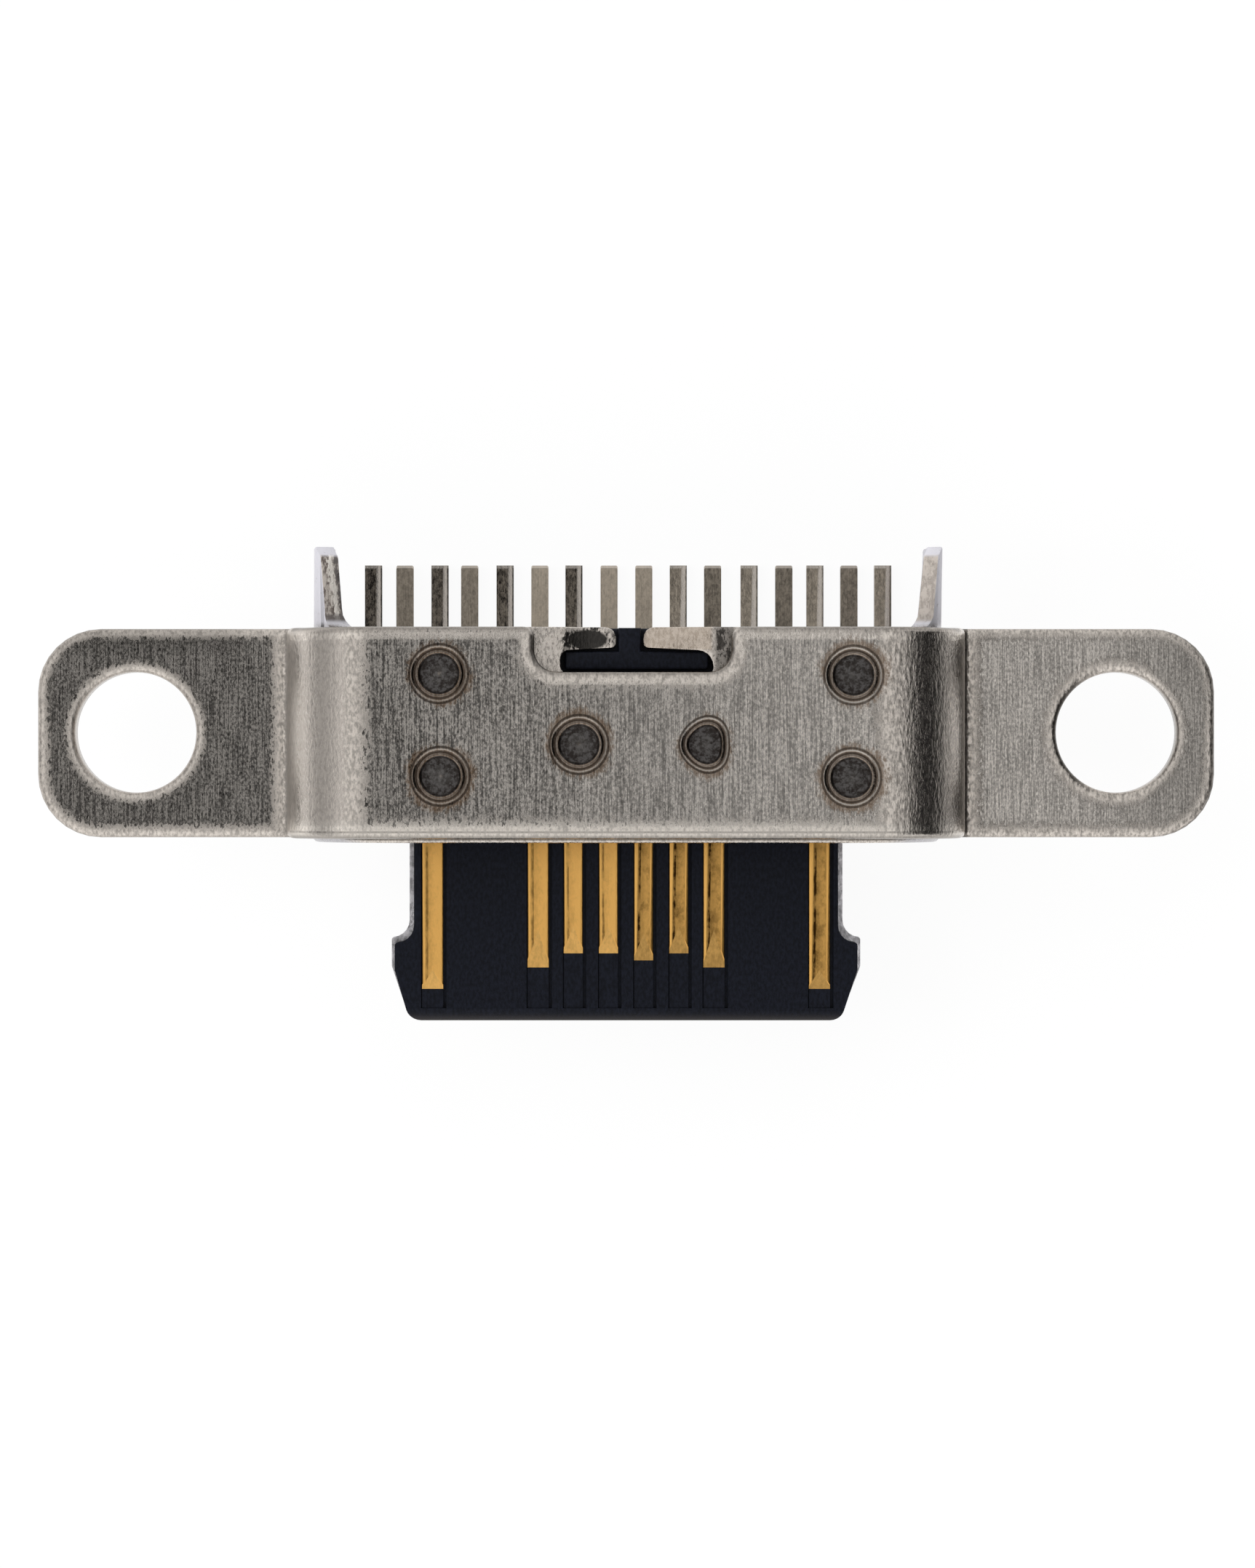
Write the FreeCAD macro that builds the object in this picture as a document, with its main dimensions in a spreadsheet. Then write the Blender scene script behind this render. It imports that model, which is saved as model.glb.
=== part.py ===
"""Board connector: an oval shell with a contact tongue, held by a strap with two screw ears.

X runs across the contacts, Y from the tongue's tip to the solder tails, Z up.
The origin is midway between the two screw holes, on the face that the ears sit on.
Sizes are millimetres.
"""
import math
import os
import re

import FreeCAD, Part, Sketcher
from FreeCAD import Vector

# Driving dimensions: name, size, meaning.
SIZES = [
    ("mid_plane", 0.15, "height of the tongue's middle above the ears' seat"),
    ("shell_width", 8.94, "outside width of the oval shell"),
    ("shell_height", 3.16, "outside height of the oval shell"),
    ("shell_wall", 0.27, "wall of the shell"),
    ("shell_front", 1.60, "screw line to the shell's mouth"),
    ("shell_rear", 1.45, "screw line to the back edge of the shell's roof"),
    ("mouth_bevel", 0.08, "bevel round the shell's mouth, outside"),
    ("mouth_chamfer", 0.07, "lead-in chamfer of the mouth, inside"),
    ("floor_rear", 0.72, "screw line to the back edge of the shell's floor"),
    ("tab_end", 2.63, "screw line to the ends of the side tabs"),
    ("tab_rise", 0.55, "top edge of a tab above the middle plane"),
    ("tab_drop", 0.62, "bottom edge of a tab below the middle plane"),
    ("floor_corner", 0.15, "corner radius between a tab and the floor's back edge"),
    ("tab_root", 0.30, "fillet at a tab's root"),
    ("tab_slope", 0.26, "length of the sloping end of a tab"),
    ("tab_slope_drop", 0.30, "how far a tab's end slopes down"),
    ("slot_width", 2.12, "lock slot in the shell's roof, across"),
    ("slot_front", 0.74, "screw line to the slot's front edge"),
    ("slot_corner", 0.10, "corner radius of the slot"),
    ("slot_shift", 0.15, "slot's middle to the right of the connector's"),
    ("finger_depth", 0.32, "the two fingers behind the slot, front to back"),
    ("throat_width", 0.35, "gap between the fingers' tips"),
    ("throat_shift", 0.05, "gap's middle to the right of the connector's"),
    ("strap_thickness", 0.30, "sheet of the bracket"),
    ("strap_depth", 2.96, "width of the bracket's strip, front to back"),
    ("ear_span", 16.80, "bracket's length over both ears"),
    ("ear_corner", 0.90, "corner radius of an ear"),
    ("screw_pitch", 14.00, "distance between the screw holes"),
    ("screw_hole", 1.72, "diameter of a screw hole"),
    ("side_gap", 0.01, "shell's side to the bracket's wall"),
    ("left_bend", 0.86, "inside radius of the left shoulder"),
    ("right_bend", 0.66, "inside radius of the right shoulder"),
    ("valley_bend", 0.12, "radius where a wall meets its ear"),
    ("edge_roll", 0.07, "worn-down top edge of the bracket"),
    ("notch_width", 2.78, "notch at the back of the bracket, across"),
    ("notch_depth", 0.66, "notch, front to back"),
    ("notch_corner", 0.30, "corner radius of the notch"),
    ("notch_shift", 0.12, "notch's middle to the right of the connector's"),
    ("weld_rim", 0.385, "outer radius of a weld mark"),
    ("weld_ring", 0.025, "raised ring between a weld's groove and its core"),
    ("weld_core", 0.285, "radius of a weld's dished core"),
    ("weld_floor", 0.13, "radius of the dish's flat floor"),
    ("weld_dish", 0.045, "depth of the dish"),
    ("weld_groove", 0.022, "depth of the groove"),
    ("weld_shift", 0.25, "weld pattern's middle to the right of the connector's"),
    ("weld_wide", 5.72, "across the four outer welds"),
    ("weld_narrow", 1.745, "across the two inner welds"),
    ("weld_rear_row", 0.78, "screw line back to the rear welds"),
    ("weld_front_row", 0.636, "screw line forward to the front welds"),
    ("weld_inner_row", 0.19, "screw line forward to the inner welds"),
    ("tongue_reach", 4.105, "screw line to the tongue's tip"),
    ("tongue_thickness", 0.70, "tongue, top to bottom"),
    ("tongue_waist", 6.18, "across the steel edges behind the latch hooks"),
    ("hook_width", 6.69, "across the latch hooks"),
    ("hook_back", 1.19, "tongue's tip to the hooks' shoulder"),
    ("hook_front", 0.80, "tongue's tip to the front of the hooks"),
    ("steel_margin", 0.055, "steel edge outside the plastic"),
    ("taper_start", 0.66, "tongue's tip to the start of its taper"),
    ("tip_width", 6.06, "across the tongue's tip"),
    ("tip_corner", 0.18, "corner radius of the tip"),
    ("nose_length", 0.17, "chamfer on the tip, along the tongue"),
    ("nose_depth", 0.12, "chamfer on the tip, in thickness"),
    ("plate_thickness", 0.16, "plate inside the tongue"),
    ("plate_front", 0.30, "tongue's tip to the front of the plate"),
    ("plate_shoulder", 0.30, "step behind each hook's front, inside the plastic"),
    ("insulation", 0.12, "plastic between the plate and the upper contacts' drop"),
    ("wing_depth", 0.30, "ground wings of the plate, front to back"),
    ("window_width", 0.90, "moulding windows in the plate, across"),
    ("window_length", 1.60, "moulding windows, front to back"),
    ("window_place", 2.00, "moulding windows, from the middle"),
    ("base_front", 0.65, "screw line to the front of the housing's base"),
    ("base_rear", 1.54, "screw line to the back of the housing's base"),
    ("fit_gap", 0.02, "housing to shell, all round"),
    ("sole_width", 7.96, "foot of the housing's base, across"),
    ("step_front", 0.25, "screw line forward to the tongue's stepped root"),
    ("step_thickness", 1.22, "stepped root, top to bottom"),
    ("step_width", 6.50, "stepped root, across"),
    ("key_sink", 0.11, "top of the lock key below the roof"),
    ("shield_thickness", 0.10, "ground shields on the stepped root"),
    ("shield_bend", 0.08, "outside radius where a shield turns down"),
    ("shield_lip", 0.20, "height of the shields' side lips"),
    ("shield_setback", 0.04, "shield's front edge behind the step's"),
    ("contact_pitch", 0.50, "one place to the next along a row"),
    ("contact_thickness", 0.15, "sheet of the contacts"),
    ("power_width", 0.30, "blade of a ground or supply contact"),
    ("signal_width", 0.27, "blade of a signal contact"),
    ("contact_round", 0.035, "rounded edges of a blade"),
    ("coin_length", 0.25, "flattened end of a blade"),
    ("coin_drop", 0.05, "how far that end slopes down"),
    ("ground_setback", 0.455, "tongue's tip to a ground contact"),
    ("supply_setback", 0.76, "tongue's tip to a supply contact"),
    ("signal_setback", 0.96, "tongue's tip to a signal contact"),
    ("long_setback", 0.86, "tongue's tip to the one longer signal contact"),
    ("gap_width", 0.035, "open gap beside a blade"),
    ("gap_depth", 0.07, "depth of that gap"),
    ("recess_depth", 0.02, "depth of the recess ahead of a blade"),
    ("fan_start", 0.15, "screw line forward to where the contacts spread out"),
    ("upper_drop", 1.32, "screw line to the back of the upper contacts' drop"),
    ("lower_drop", 1.02, "screw line to the back of the lower contacts' drop"),
    ("fold_inside", 0.10, "slant inside a contact's fold, along each leg"),
    ("fold_outside", 0.19, "slant outside a contact's fold, along each leg"),
    ("tail_width", 0.25, "solder tail, across"),
    ("tail_end", 2.47, "screw line to the ends of the tails"),
    ("tail_round", 0.04, "rounded edges of the upper contacts' tails"),
    ("tail_bevel", 0.04, "chamfer on the end of a tail"),
]

# Contacts: name, place on the tongue, place among the tails, blade width, distance from the tip.
UPPER_ROW = [
    ("contact_a1", -5.5, -7.5, "power_width", "ground_setback"),
    ("contact_a4", -2.5, -5.5, "power_width", "supply_setback"),
    ("contact_a5", -1.5, -3.5, "signal_width", "signal_setback"),
    ("contact_a6", -0.5, -1.5, "signal_width", "signal_setback"),
    ("contact_a7", 0.5, 1.5, "signal_width", "long_setback"),
    ("contact_a8", 1.5, 3.5, "signal_width", "signal_setback"),
    ("contact_a9", 2.5, 5.5, "power_width", "supply_setback"),
    ("contact_a12", 5.5, 7.5, "power_width", "ground_setback"),
]
LOWER_ROW = [
    ("contact_b12", -5.5, -6.5, "power_width", "ground_setback"),
    ("contact_b9", -2.5, -4.5, "power_width", "supply_setback"),
    ("contact_b8", -1.5, -2.5, "signal_width", "signal_setback"),
    ("contact_b7", -0.5, -0.5, "signal_width", "signal_setback"),
    ("contact_b6", 0.5, 0.5, "signal_width", "long_setback"),
    ("contact_b5", 1.5, 2.5, "signal_width", "signal_setback"),
    ("contact_b4", 2.5, 4.5, "power_width", "supply_setback"),
    ("contact_b1", 5.5, 6.5, "power_width", "ground_setback"),
]

doc = FreeCAD.newDocument("connector")
sheet = doc.addObject("Spreadsheet::Sheet", "Sizes")
for row, (alias, size, meaning) in enumerate(SIZES, start=1):
    sheet.set("A%d" % row, alias)
    sheet.set("B%d" % row, str(size))
    sheet.setAlias("B%d" % row, alias)
    sheet.set("C%d" % row, meaning)
doc.recompute()
ALIASES = {alias for alias, _, _ in SIZES}


# Binding sizes to the sheet


def bound(text):
    """An expression on plain size names, with each name pointed at the sheet."""
    return re.sub(r"[a-z][a-z_]+", lambda word: "Sizes." + word[0] if word[0] in ALIASES else word[0], text)


def value(text):
    """What an expression on size names comes to."""
    return float(sheet.evalExpression(bound(text)))


def bind(thing, name, text):
    """Tie a property to an expression on size names."""
    thing.setExpression(name, bound(text))


# Sketches


def new_body(label, height="0"):
    """A body with its own label, lifted to its height above the ears' seat."""
    body = doc.addObject("PartDesign::Body", label)
    body.Label = label
    bind(body, "Placement.Base.z", height)
    return body


def new_sketch(body, name, plane, lift="0"):
    """A sketch on one of the body's origin planes, moved along that plane's normal."""
    sketch = body.newObject("Sketcher::SketchObject", name)
    support = [item for item in body.Origin.OriginFeatures if item.Role == plane][0]
    sketch.AttachmentSupport = [(support, "")]
    sketch.MapMode = "FlatFace"
    bind(sketch, "AttachmentOffset.Base.z", lift)
    return sketch


def hold(sketch, what, text):
    """Add a constraint and tie its size to an expression."""
    index = sketch.addConstraint(Sketcher.Constraint(*what, value(text)))
    bind(sketch, "Constraints[%d]" % index, text)


def fix_point(sketch, curve, end, place):
    """Hold a point at a place given as two expressions."""
    hold(sketch, ("DistanceX", curve, end), place[0])
    hold(sketch, ("DistanceY", curve, end), place[1])


def arc_between(start, end, radius, turn):
    """The short arc from start to end, turning left (1) or right (-1)."""
    chord = end - start
    side = Vector(-chord.y, chord.x, 0).normalize() * turn
    rise = max(radius ** 2 - (chord.Length / 2) ** 2, 0) ** 0.5
    centre = (start + end) / 2 + side * rise
    first, last = (start, end) if turn > 0 else (end, start)
    angles = [Vector(1, 0, 0).getAngle(spot - centre) * (1 if spot.y >= centre.y else -1) for spot in (first, last)]
    if angles[1] < angles[0]:
        angles[1] += 2 * math.pi
    return Part.ArcOfCircle(Part.Circle(centre, Vector(0, 0, 1), radius), *angles)


def outline(sketch, corners):
    """A closed outline. A corner is (x, y), or (x, y, radius, turn) where an arc arrives at it.

    An arc is held by its radius, or, where its ends are one above the other, by its middle.
    """
    spots = [Vector(value(corner[0]), value(corner[1]), 0) for corner in corners]
    ends = []
    for number, corner in enumerate(corners):
        start, end = spots[number - 1], spots[number]
        if len(corner) == 4:
            curve = sketch.addGeometry(arc_between(start, end, value(corner[2]), corner[3]))
            ends.append((curve, 1, 2) if corner[3] > 0 else (curve, 2, 1))
            if near(start.x, end.x):
                hold(sketch, ("DistanceX", curve, 3), corner[0])
            else:
                hold(sketch, ("Radius", curve), corner[2])
        else:
            curve = sketch.addGeometry(Part.LineSegment(start, end))
            ends.append((curve, 1, 2))
    for number, corner in enumerate(corners):
        curve, _, last = ends[number]
        after, first, _ = ends[(number + 1) % len(corners)]
        sketch.addConstraint(Sketcher.Constraint("Coincident", curve, last, after, first))
        fix_point(sketch, curve, last, corner[:2])


def rectangle(sketch, left, right, low, high):
    """A rectangle between four expressions."""
    outline(sketch, [(left, low), (right, low), (right, high), (left, high)])


def circle(sketch, x, y, radius):
    """A circle at a place given as expressions."""
    curve = sketch.addGeometry(Part.Circle(Vector(value(x), value(y), 0), Vector(0, 0, 1), value(radius)))
    fix_point(sketch, curve, 3, (x, y))
    hold(sketch, ("Radius", curve), radius)


def oval(sketch, width, height):
    """A flat oval round the sketch's origin, with fully round ends."""
    flat = "((%s) - (%s)) / 2" % (width, height)
    half = "(%s) / 2" % height
    outline(sketch, [
        ("-" + flat, "-" + half, half, 1),
        (flat, "-" + half),
        (flat, half, half, 1),
        ("-" + flat, half),
    ])


# Features


def pad(body, sketch, length, both_ways=False, name="Pad"):
    """Add material along the sketch's normal, or as much on both sides of it."""
    feature = body.newObject("PartDesign::Pad", name)
    feature.Profile = sketch
    bind(feature, "Length", length)
    if both_ways:
        feature.Midplane = True
    doc.recompute()
    return feature


def pocket(body, sketch, length, both_ways=False, upwards=False, name="Pocket"):
    """Cut against the sketch's normal, or along it, or both ways; it has to remove material."""
    before = body.Shape.Volume
    feature = body.newObject("PartDesign::Pocket", name)
    feature.Profile = sketch
    bind(feature, "Length", length)
    feature.Reversed = upwards
    if both_ways:
        feature.Midplane = True
    doc.recompute()
    if not body.Shape.Volume < before:
        raise ValueError(body.Label + ": " + name + " cut nothing")
    return feature


def edge_names(body, test):
    """Names of the edges of the body's shape that pass a test."""
    return ["Edge%d" % (number + 1) for number, edge in enumerate(body.Tip.Shape.Edges) if test(edge)]


def dress(body, kind, size_name, size, test, name):
    """A fillet or chamfer on the edges that pass a test."""
    edges = edge_names(body, test)
    base = body.Tip
    feature = body.newObject("PartDesign::" + kind, name)
    feature.Base = (base, edges)
    bind(feature, size_name, size)
    doc.recompute()
    return feature


def near(first, second):
    """True when two lengths are the same within a micrometre."""
    return abs(first - second) < 1e-3


def along(edge, axis):
    """True for a straight edge that runs along an axis."""
    if not isinstance(edge.Curve, Part.Line):
        return False
    direction = edge.Curve.Direction
    return abs(abs(getattr(direction, axis)) - 1) < 1e-6


def spread(edge, axis):
    """Lowest and highest coordinate of an edge along an axis."""
    box = edge.BoundBox
    return getattr(box, axis.upper() + "Min"), getattr(box, axis.upper() + "Max")


def lies_at(edge, axis, place):
    """True when the whole edge lies at one coordinate."""
    low, high = spread(edge, axis)
    return near(low, place) and near(high, place)


# The shell


def outer_shell():
    """Oval tube, its roof and floor cut back behind, with a lock slot and two side tabs."""
    body = new_body("outer_shell", "mid_plane")
    section = new_sketch(body, "shell_section", "XZ_Plane", "-tab_end")
    oval(section, "shell_width", "shell_height")
    oval(section, "shell_width - 2 * shell_wall", "shell_height - 2 * shell_wall")
    pad(body, section, "shell_front + tab_end", name="shell_tube")

    side = new_sketch(body, "tab_outline", "YZ_Plane")
    outline(side, [
        ("shell_rear", "shell_height"),
        ("shell_rear", "tab_rise + tab_root"),
        ("shell_rear + tab_root", "tab_rise", "tab_root", 1),
        ("tab_end - tab_slope", "tab_rise"),
        ("tab_end", "tab_rise - tab_slope_drop"),
        ("tab_end + shell_wall", "tab_rise - tab_slope_drop"),
        ("tab_end + shell_wall", "shell_height"),
    ])
    outline(side, [
        ("floor_rear", "-shell_height"),
        ("tab_end + shell_wall", "-shell_height"),
        ("tab_end + shell_wall", "-tab_drop"),
        ("floor_rear + floor_corner", "-tab_drop"),
        ("floor_rear", "-tab_drop - floor_corner", "floor_corner", 1),
    ])
    pocket(body, side, "ear_span", both_ways=True, name="tab_cut")

    roof = new_sketch(body, "slot_outline", "XY_Plane", "shell_height / 2")
    left = "slot_shift - slot_width / 2"
    right = "slot_shift + slot_width / 2"
    finger_front = "shell_rear - finger_depth"
    finger_round = "finger_depth / 2"
    gap_left = "throat_shift - throat_width / 2"
    gap_right = "throat_shift + throat_width / 2"
    outline(roof, [
        (left, "slot_front + slot_corner"),
        (left + " + slot_corner", "slot_front", "slot_corner", 1),
        (right + " - slot_corner", "slot_front"),
        (right, "slot_front + slot_corner", "slot_corner", 1),
        (right, finger_front + " - slot_corner"),
        (right + " - slot_corner", finger_front, "slot_corner", 1),
        (gap_right + " + finger_depth / 2", finger_front),
        (gap_right, "shell_rear - finger_depth / 2", finger_round, -1),
        (gap_right + " + finger_depth / 2", "shell_rear", finger_round, -1),
        (gap_right + " + finger_depth / 2", "shell_rear + slot_corner"),
        (gap_left + " - finger_depth / 2", "shell_rear + slot_corner"),
        (gap_left + " - finger_depth / 2", "shell_rear"),
        (gap_left, "shell_rear - finger_depth / 2", finger_round, -1),
        (gap_left + " - finger_depth / 2", finger_front, finger_round, -1),
        (left + " + slot_corner", finger_front),
        (left, finger_front + " - slot_corner", "slot_corner", 1),
    ])
    pocket(body, roof, "shell_wall", name="lock_slot")

    mouth = -value("shell_front")
    outer_top = value("shell_height / 2")
    inner_top = value("shell_height / 2 - shell_wall")
    dress(body, "Chamfer", "Size", "mouth_bevel", lambda edge: lies_at(edge, "y", mouth)
          and near(max(abs(z) for z in spread(edge, "z")), outer_top), "mouth_bevel")
    dress(body, "Chamfer", "Size", "mouth_chamfer", lambda edge: lies_at(edge, "y", mouth)
          and near(max(abs(z) for z in spread(edge, "z")), inner_top), "mouth_lead_in")
    return body


# The bracket


def mounting_bracket():
    """Strip bent to a hat section over the shell, with screw ears, a notch and weld marks."""
    body = new_body("mounting_bracket")
    section = new_sketch(body, "hat_section", "XZ_Plane")
    end = "ear_span / 2"
    inner = "(shell_width / 2 + side_gap)"
    outer = "(shell_width / 2 + side_gap + strap_thickness)"
    foot = "(shell_width / 2 + side_gap + strap_thickness + valley_bend)"
    bend_top = "strap_thickness + valley_bend"
    under = "(mid_plane + shell_height / 2)"
    top = "(mid_plane + shell_height / 2 + strap_thickness)"
    outline(section, [
        ("-" + end, "0"),
        ("-" + foot, "0"),
        ("-" + inner, bend_top, "valley_bend + strap_thickness", 1),
        ("-" + inner, under + " - left_bend"),
        ("-" + inner + " + left_bend", under, "left_bend", -1),
        (inner + " - right_bend", under),
        (inner, under + " - right_bend", "right_bend", -1),
        (inner, bend_top),
        (foot, "0", "valley_bend + strap_thickness", 1),
        (end, "0"),
        (end, "strap_thickness"),
        (foot, "strap_thickness"),
        (outer, bend_top, "valley_bend", -1),
        (outer, under + " - right_bend"),
        (inner + " - right_bend", top, "right_bend + strap_thickness", 1),
        ("-" + inner + " + left_bend", top),
        ("-" + outer, under + " - left_bend", "left_bend + strap_thickness", 1),
        ("-" + outer, bend_top),
        ("-" + foot, "strap_thickness", "valley_bend", -1),
        ("-" + end, "strap_thickness"),
    ])
    pad(body, section, "strap_depth", both_ways=True, name="strip")

    holes = new_sketch(body, "screw_places", "XY_Plane", "strap_thickness")
    circle(holes, "-screw_pitch / 2", "0", "screw_hole / 2")
    circle(holes, "screw_pitch / 2", "0", "screw_hole / 2")
    pocket(body, holes, "strap_thickness", name="screw_holes")

    notch = new_sketch(body, "notch_outline", "XY_Plane", top)
    left = "notch_shift - notch_width / 2"
    right = "notch_shift + notch_width / 2"
    back = "strap_depth / 2"
    outline(notch, [
        (left, back + " + notch_corner"),
        (left, back + " - notch_depth + notch_corner"),
        (left + " + notch_corner", back + " - notch_depth", "notch_corner", 1),
        (right + " - notch_corner", back + " - notch_depth"),
        (right, back + " - notch_depth + notch_corner", "notch_corner", 1),
        (right, back + " + notch_corner"),
    ])
    pocket(body, notch, "strap_thickness", name="notch")

    far = value(end)
    dress(body, "Fillet", "Radius", "ear_corner", lambda edge: along(edge, "z")
          and near(abs(edge.CenterOfMass.x), far), "ear_corners")

    ear_top = value("strap_thickness")
    plate_top = value(top)
    half = value("strap_depth / 2")
    inner_low = value(inner)

    def rim(edge):
        """The strip's outer top edges: ears, walls, plate and notch."""
        low, high = spread(edge, "z")
        if low < ear_top - 1e-3:
            return False
        if near(low, high) and (near(low, ear_top) or near(low, plate_top)):
            hole_rim = len(edge.Vertexes) == 1
            across = along(edge, "y") and not lies_at(edge, "x", far) and not lies_at(edge, "x", -far)
            notch_side = across and near(low, plate_top) and abs(edge.CenterOfMass.x) < inner_low / 2
            return not hole_rim and (not across or notch_side)
        sides = near(abs(edge.CenterOfMass.y), half)
        outside = abs(edge.CenterOfMass.x) > inner_low or high > value(under) + 1e-3
        return sides and outside

    dress(body, "Chamfer", "Size", "edge_roll", rim, "worn_edges")

    for side in (-1, 1):
        wide = "weld_shift + %d * weld_wide / 2" % side
        narrow = "weld_shift + %d * weld_narrow / 2" % side
        weld(body, wide, "weld_rear_row", top)
        weld(body, wide, "-weld_front_row", top)
        weld(body, narrow, "-weld_inner_row", top)
    return body


def weld(body, x, y, top):
    """A weld mark: a dished core, a raised ring and a groove, turned about an upright axis."""
    sketch = new_sketch(body, "weld_profile", "XZ_Plane", "-(%s)" % y)
    outline(sketch, [
        (x, top + " + weld_dish"),
        (x, top + " - weld_dish"),
        (x + " + weld_floor", top + " - weld_dish"),
        (x + " + weld_core", top),
        (x + " + weld_core + weld_ring", top),
        (x + " + (weld_core + weld_ring + weld_rim) / 2", top + " - weld_groove"),
        (x + " + weld_rim", top),
        (x + " + weld_rim", top + " + weld_dish"),
    ])
    axis = sketch.addGeometry(Part.LineSegment(Vector(value(x), 0, 0), Vector(value(x), 1, 0)), True)
    fix_point(sketch, axis, 1, (x, "0"))
    fix_point(sketch, axis, 2, (x, "1"))
    before = body.Shape.Volume
    feature = body.newObject("PartDesign::Groove", "weld_mark")
    feature.Profile = sketch
    feature.ReferenceAxis = (sketch, ["Axis0"])
    feature.Angle = 360
    doc.recompute()
    if not body.Shape.Volume < before:
        raise ValueError("a weld mark cut nothing")


# The tongue's steel plate


def from_tip(text):
    """The place at a distance behind the tongue's tip."""
    return "(%s) - tongue_reach" % text


def mid_plate():
    """Plate in the middle of the tongue, with latch hooks in front and ground wings behind."""
    body = new_body("mid_plate", "mid_plane")
    plan = new_sketch(body, "plate_outline", "XY_Plane", "-plate_thickness / 2")
    waist = "tongue_waist / 2"
    hook = "hook_width / 2"
    root = "(hook_width - tongue_waist) / 2"
    nose = "(hook_width / 2 - plate_shoulder)"
    wing = "(shell_width / 2 - shell_wall - fit_gap)"
    plate_rear = "upper_drop - contact_thickness - insulation"
    wing_front = plate_rear + " - wing_depth"
    right_side = [
        (nose, from_tip("plate_front")),
        (nose, from_tip("hook_front")),
        (hook, from_tip("hook_front")),
        (hook, from_tip("hook_back")),
        (waist, from_tip("hook_back + " + root), root, -1),
        (waist, wing_front),
        (wing, wing_front),
        (wing, plate_rear),
    ]
    left_side = [
        ("-" + wing, plate_rear),
        ("-" + wing, wing_front),
        ("-" + waist, wing_front),
        ("-" + waist, from_tip("hook_back + " + root)),
        ("-" + hook, from_tip("hook_back"), root, -1),
        ("-" + hook, from_tip("hook_front")),
        ("-" + nose, from_tip("hook_front")),
        ("-" + nose, from_tip("plate_front")),
    ]
    outline(plan, right_side + left_side)
    for side in (-1, 1):
        middle = "%d * window_place" % side
        rectangle(plan, middle + " - window_width / 2", middle + " + window_width / 2",
                  from_tip("hook_back"), from_tip("hook_back + window_length"))
    pad(body, plan, "plate_thickness", name="plate")
    return body


# Contacts


def contact(label, place, tail, width, setback, row):
    """One contact of the upper (1) or lower (-1) row, bent from a strip."""
    body = new_body(label, "mid_plane")
    blade_x = "%s * contact_pitch" % place
    tail_x = "%s * contact_pitch" % tail
    face = "%d * tongue_thickness / 2" % row
    back = "%d * (tongue_thickness / 2 - contact_thickness)" % row
    upper_side, under_side = (face, back) if row > 0 else (back, face)
    drop = "upper_drop" if row > 0 else "lower_drop"
    fan_end = drop + " - contact_thickness - 2 * fold_inside"

    blade = new_sketch(body, "blade_side", "YZ_Plane", blade_x)
    corners = [
        (from_tip(setback), back),
        ("-fan_start", back),
        ("-fan_start", face),
        (from_tip(setback + " + coin_length"), face),
        (from_tip(setback), "%s - %d * coin_drop" % (face, row)),
    ]
    outline(blade, corners)
    pad(body, blade, width, both_ways=True, name="blade")
    blade_face = value(face)
    dress(body, "Fillet", "Radius", "contact_round", lambda edge: along(edge, "y")
          and lies_at(edge, "z", blade_face), "blade_edges")

    ground = "-shell_height / 2"
    foot_top = "contact_thickness - shell_height / 2"
    heel = drop + " + fold_inside"
    tail_plan = new_sketch(body, "tail_plan", "XY_Plane", ground)
    rectangle(tail_plan, tail_x + " - tail_width / 2", tail_x + " + tail_width / 2", heel, "tail_end")
    pad(body, tail_plan, "contact_thickness", name="tail")
    tail_top = value(foot_top)
    tail_tip = value("tail_end")
    dress(body, "Chamfer", "Size", "tail_bevel", lambda edge: along(edge, "x")
          and lies_at(edge, "y", tail_tip) and lies_at(edge, "z", tail_top), "tail_end_bevel")
    if row > 0:
        dress(body, "Fillet", "Radius", "tail_round", lambda edge: along(edge, "y")
              and lies_at(edge, "z", tail_top), "tail_edges")

    side = new_sketch(body, "drop_side", "YZ_Plane", tail_x)
    outline(side, [
        (fan_end, upper_side),
        (fan_end, under_side),
        (drop + " - contact_thickness - fold_inside", under_side),
        (drop + " - contact_thickness", under_side + " - fold_inside"),
        (drop + " - contact_thickness", ground + " + fold_outside"),
        (drop + " - contact_thickness + fold_outside", ground),
        (heel, ground),
        (heel, foot_top),
        (drop, foot_top + " + fold_inside"),
        (drop, upper_side + " - fold_outside"),
        (drop + " - fold_outside", upper_side),
    ])
    pad(body, side, "tail_width", both_ways=True, name="drop")

    fan = new_sketch(body, "fan_plan", "XY_Plane", under_side)
    outline(fan, [
        ("%s - %s / 2" % (blade_x, width), "-fan_start"),
        ("%s + %s / 2" % (blade_x, width), "-fan_start"),
        (tail_x + " + tail_width / 2", fan_end),
        (tail_x + " - tail_width / 2", fan_end),
    ])
    pad(body, fan, "contact_thickness", name="fan")
    return body


# Ground shields


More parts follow.
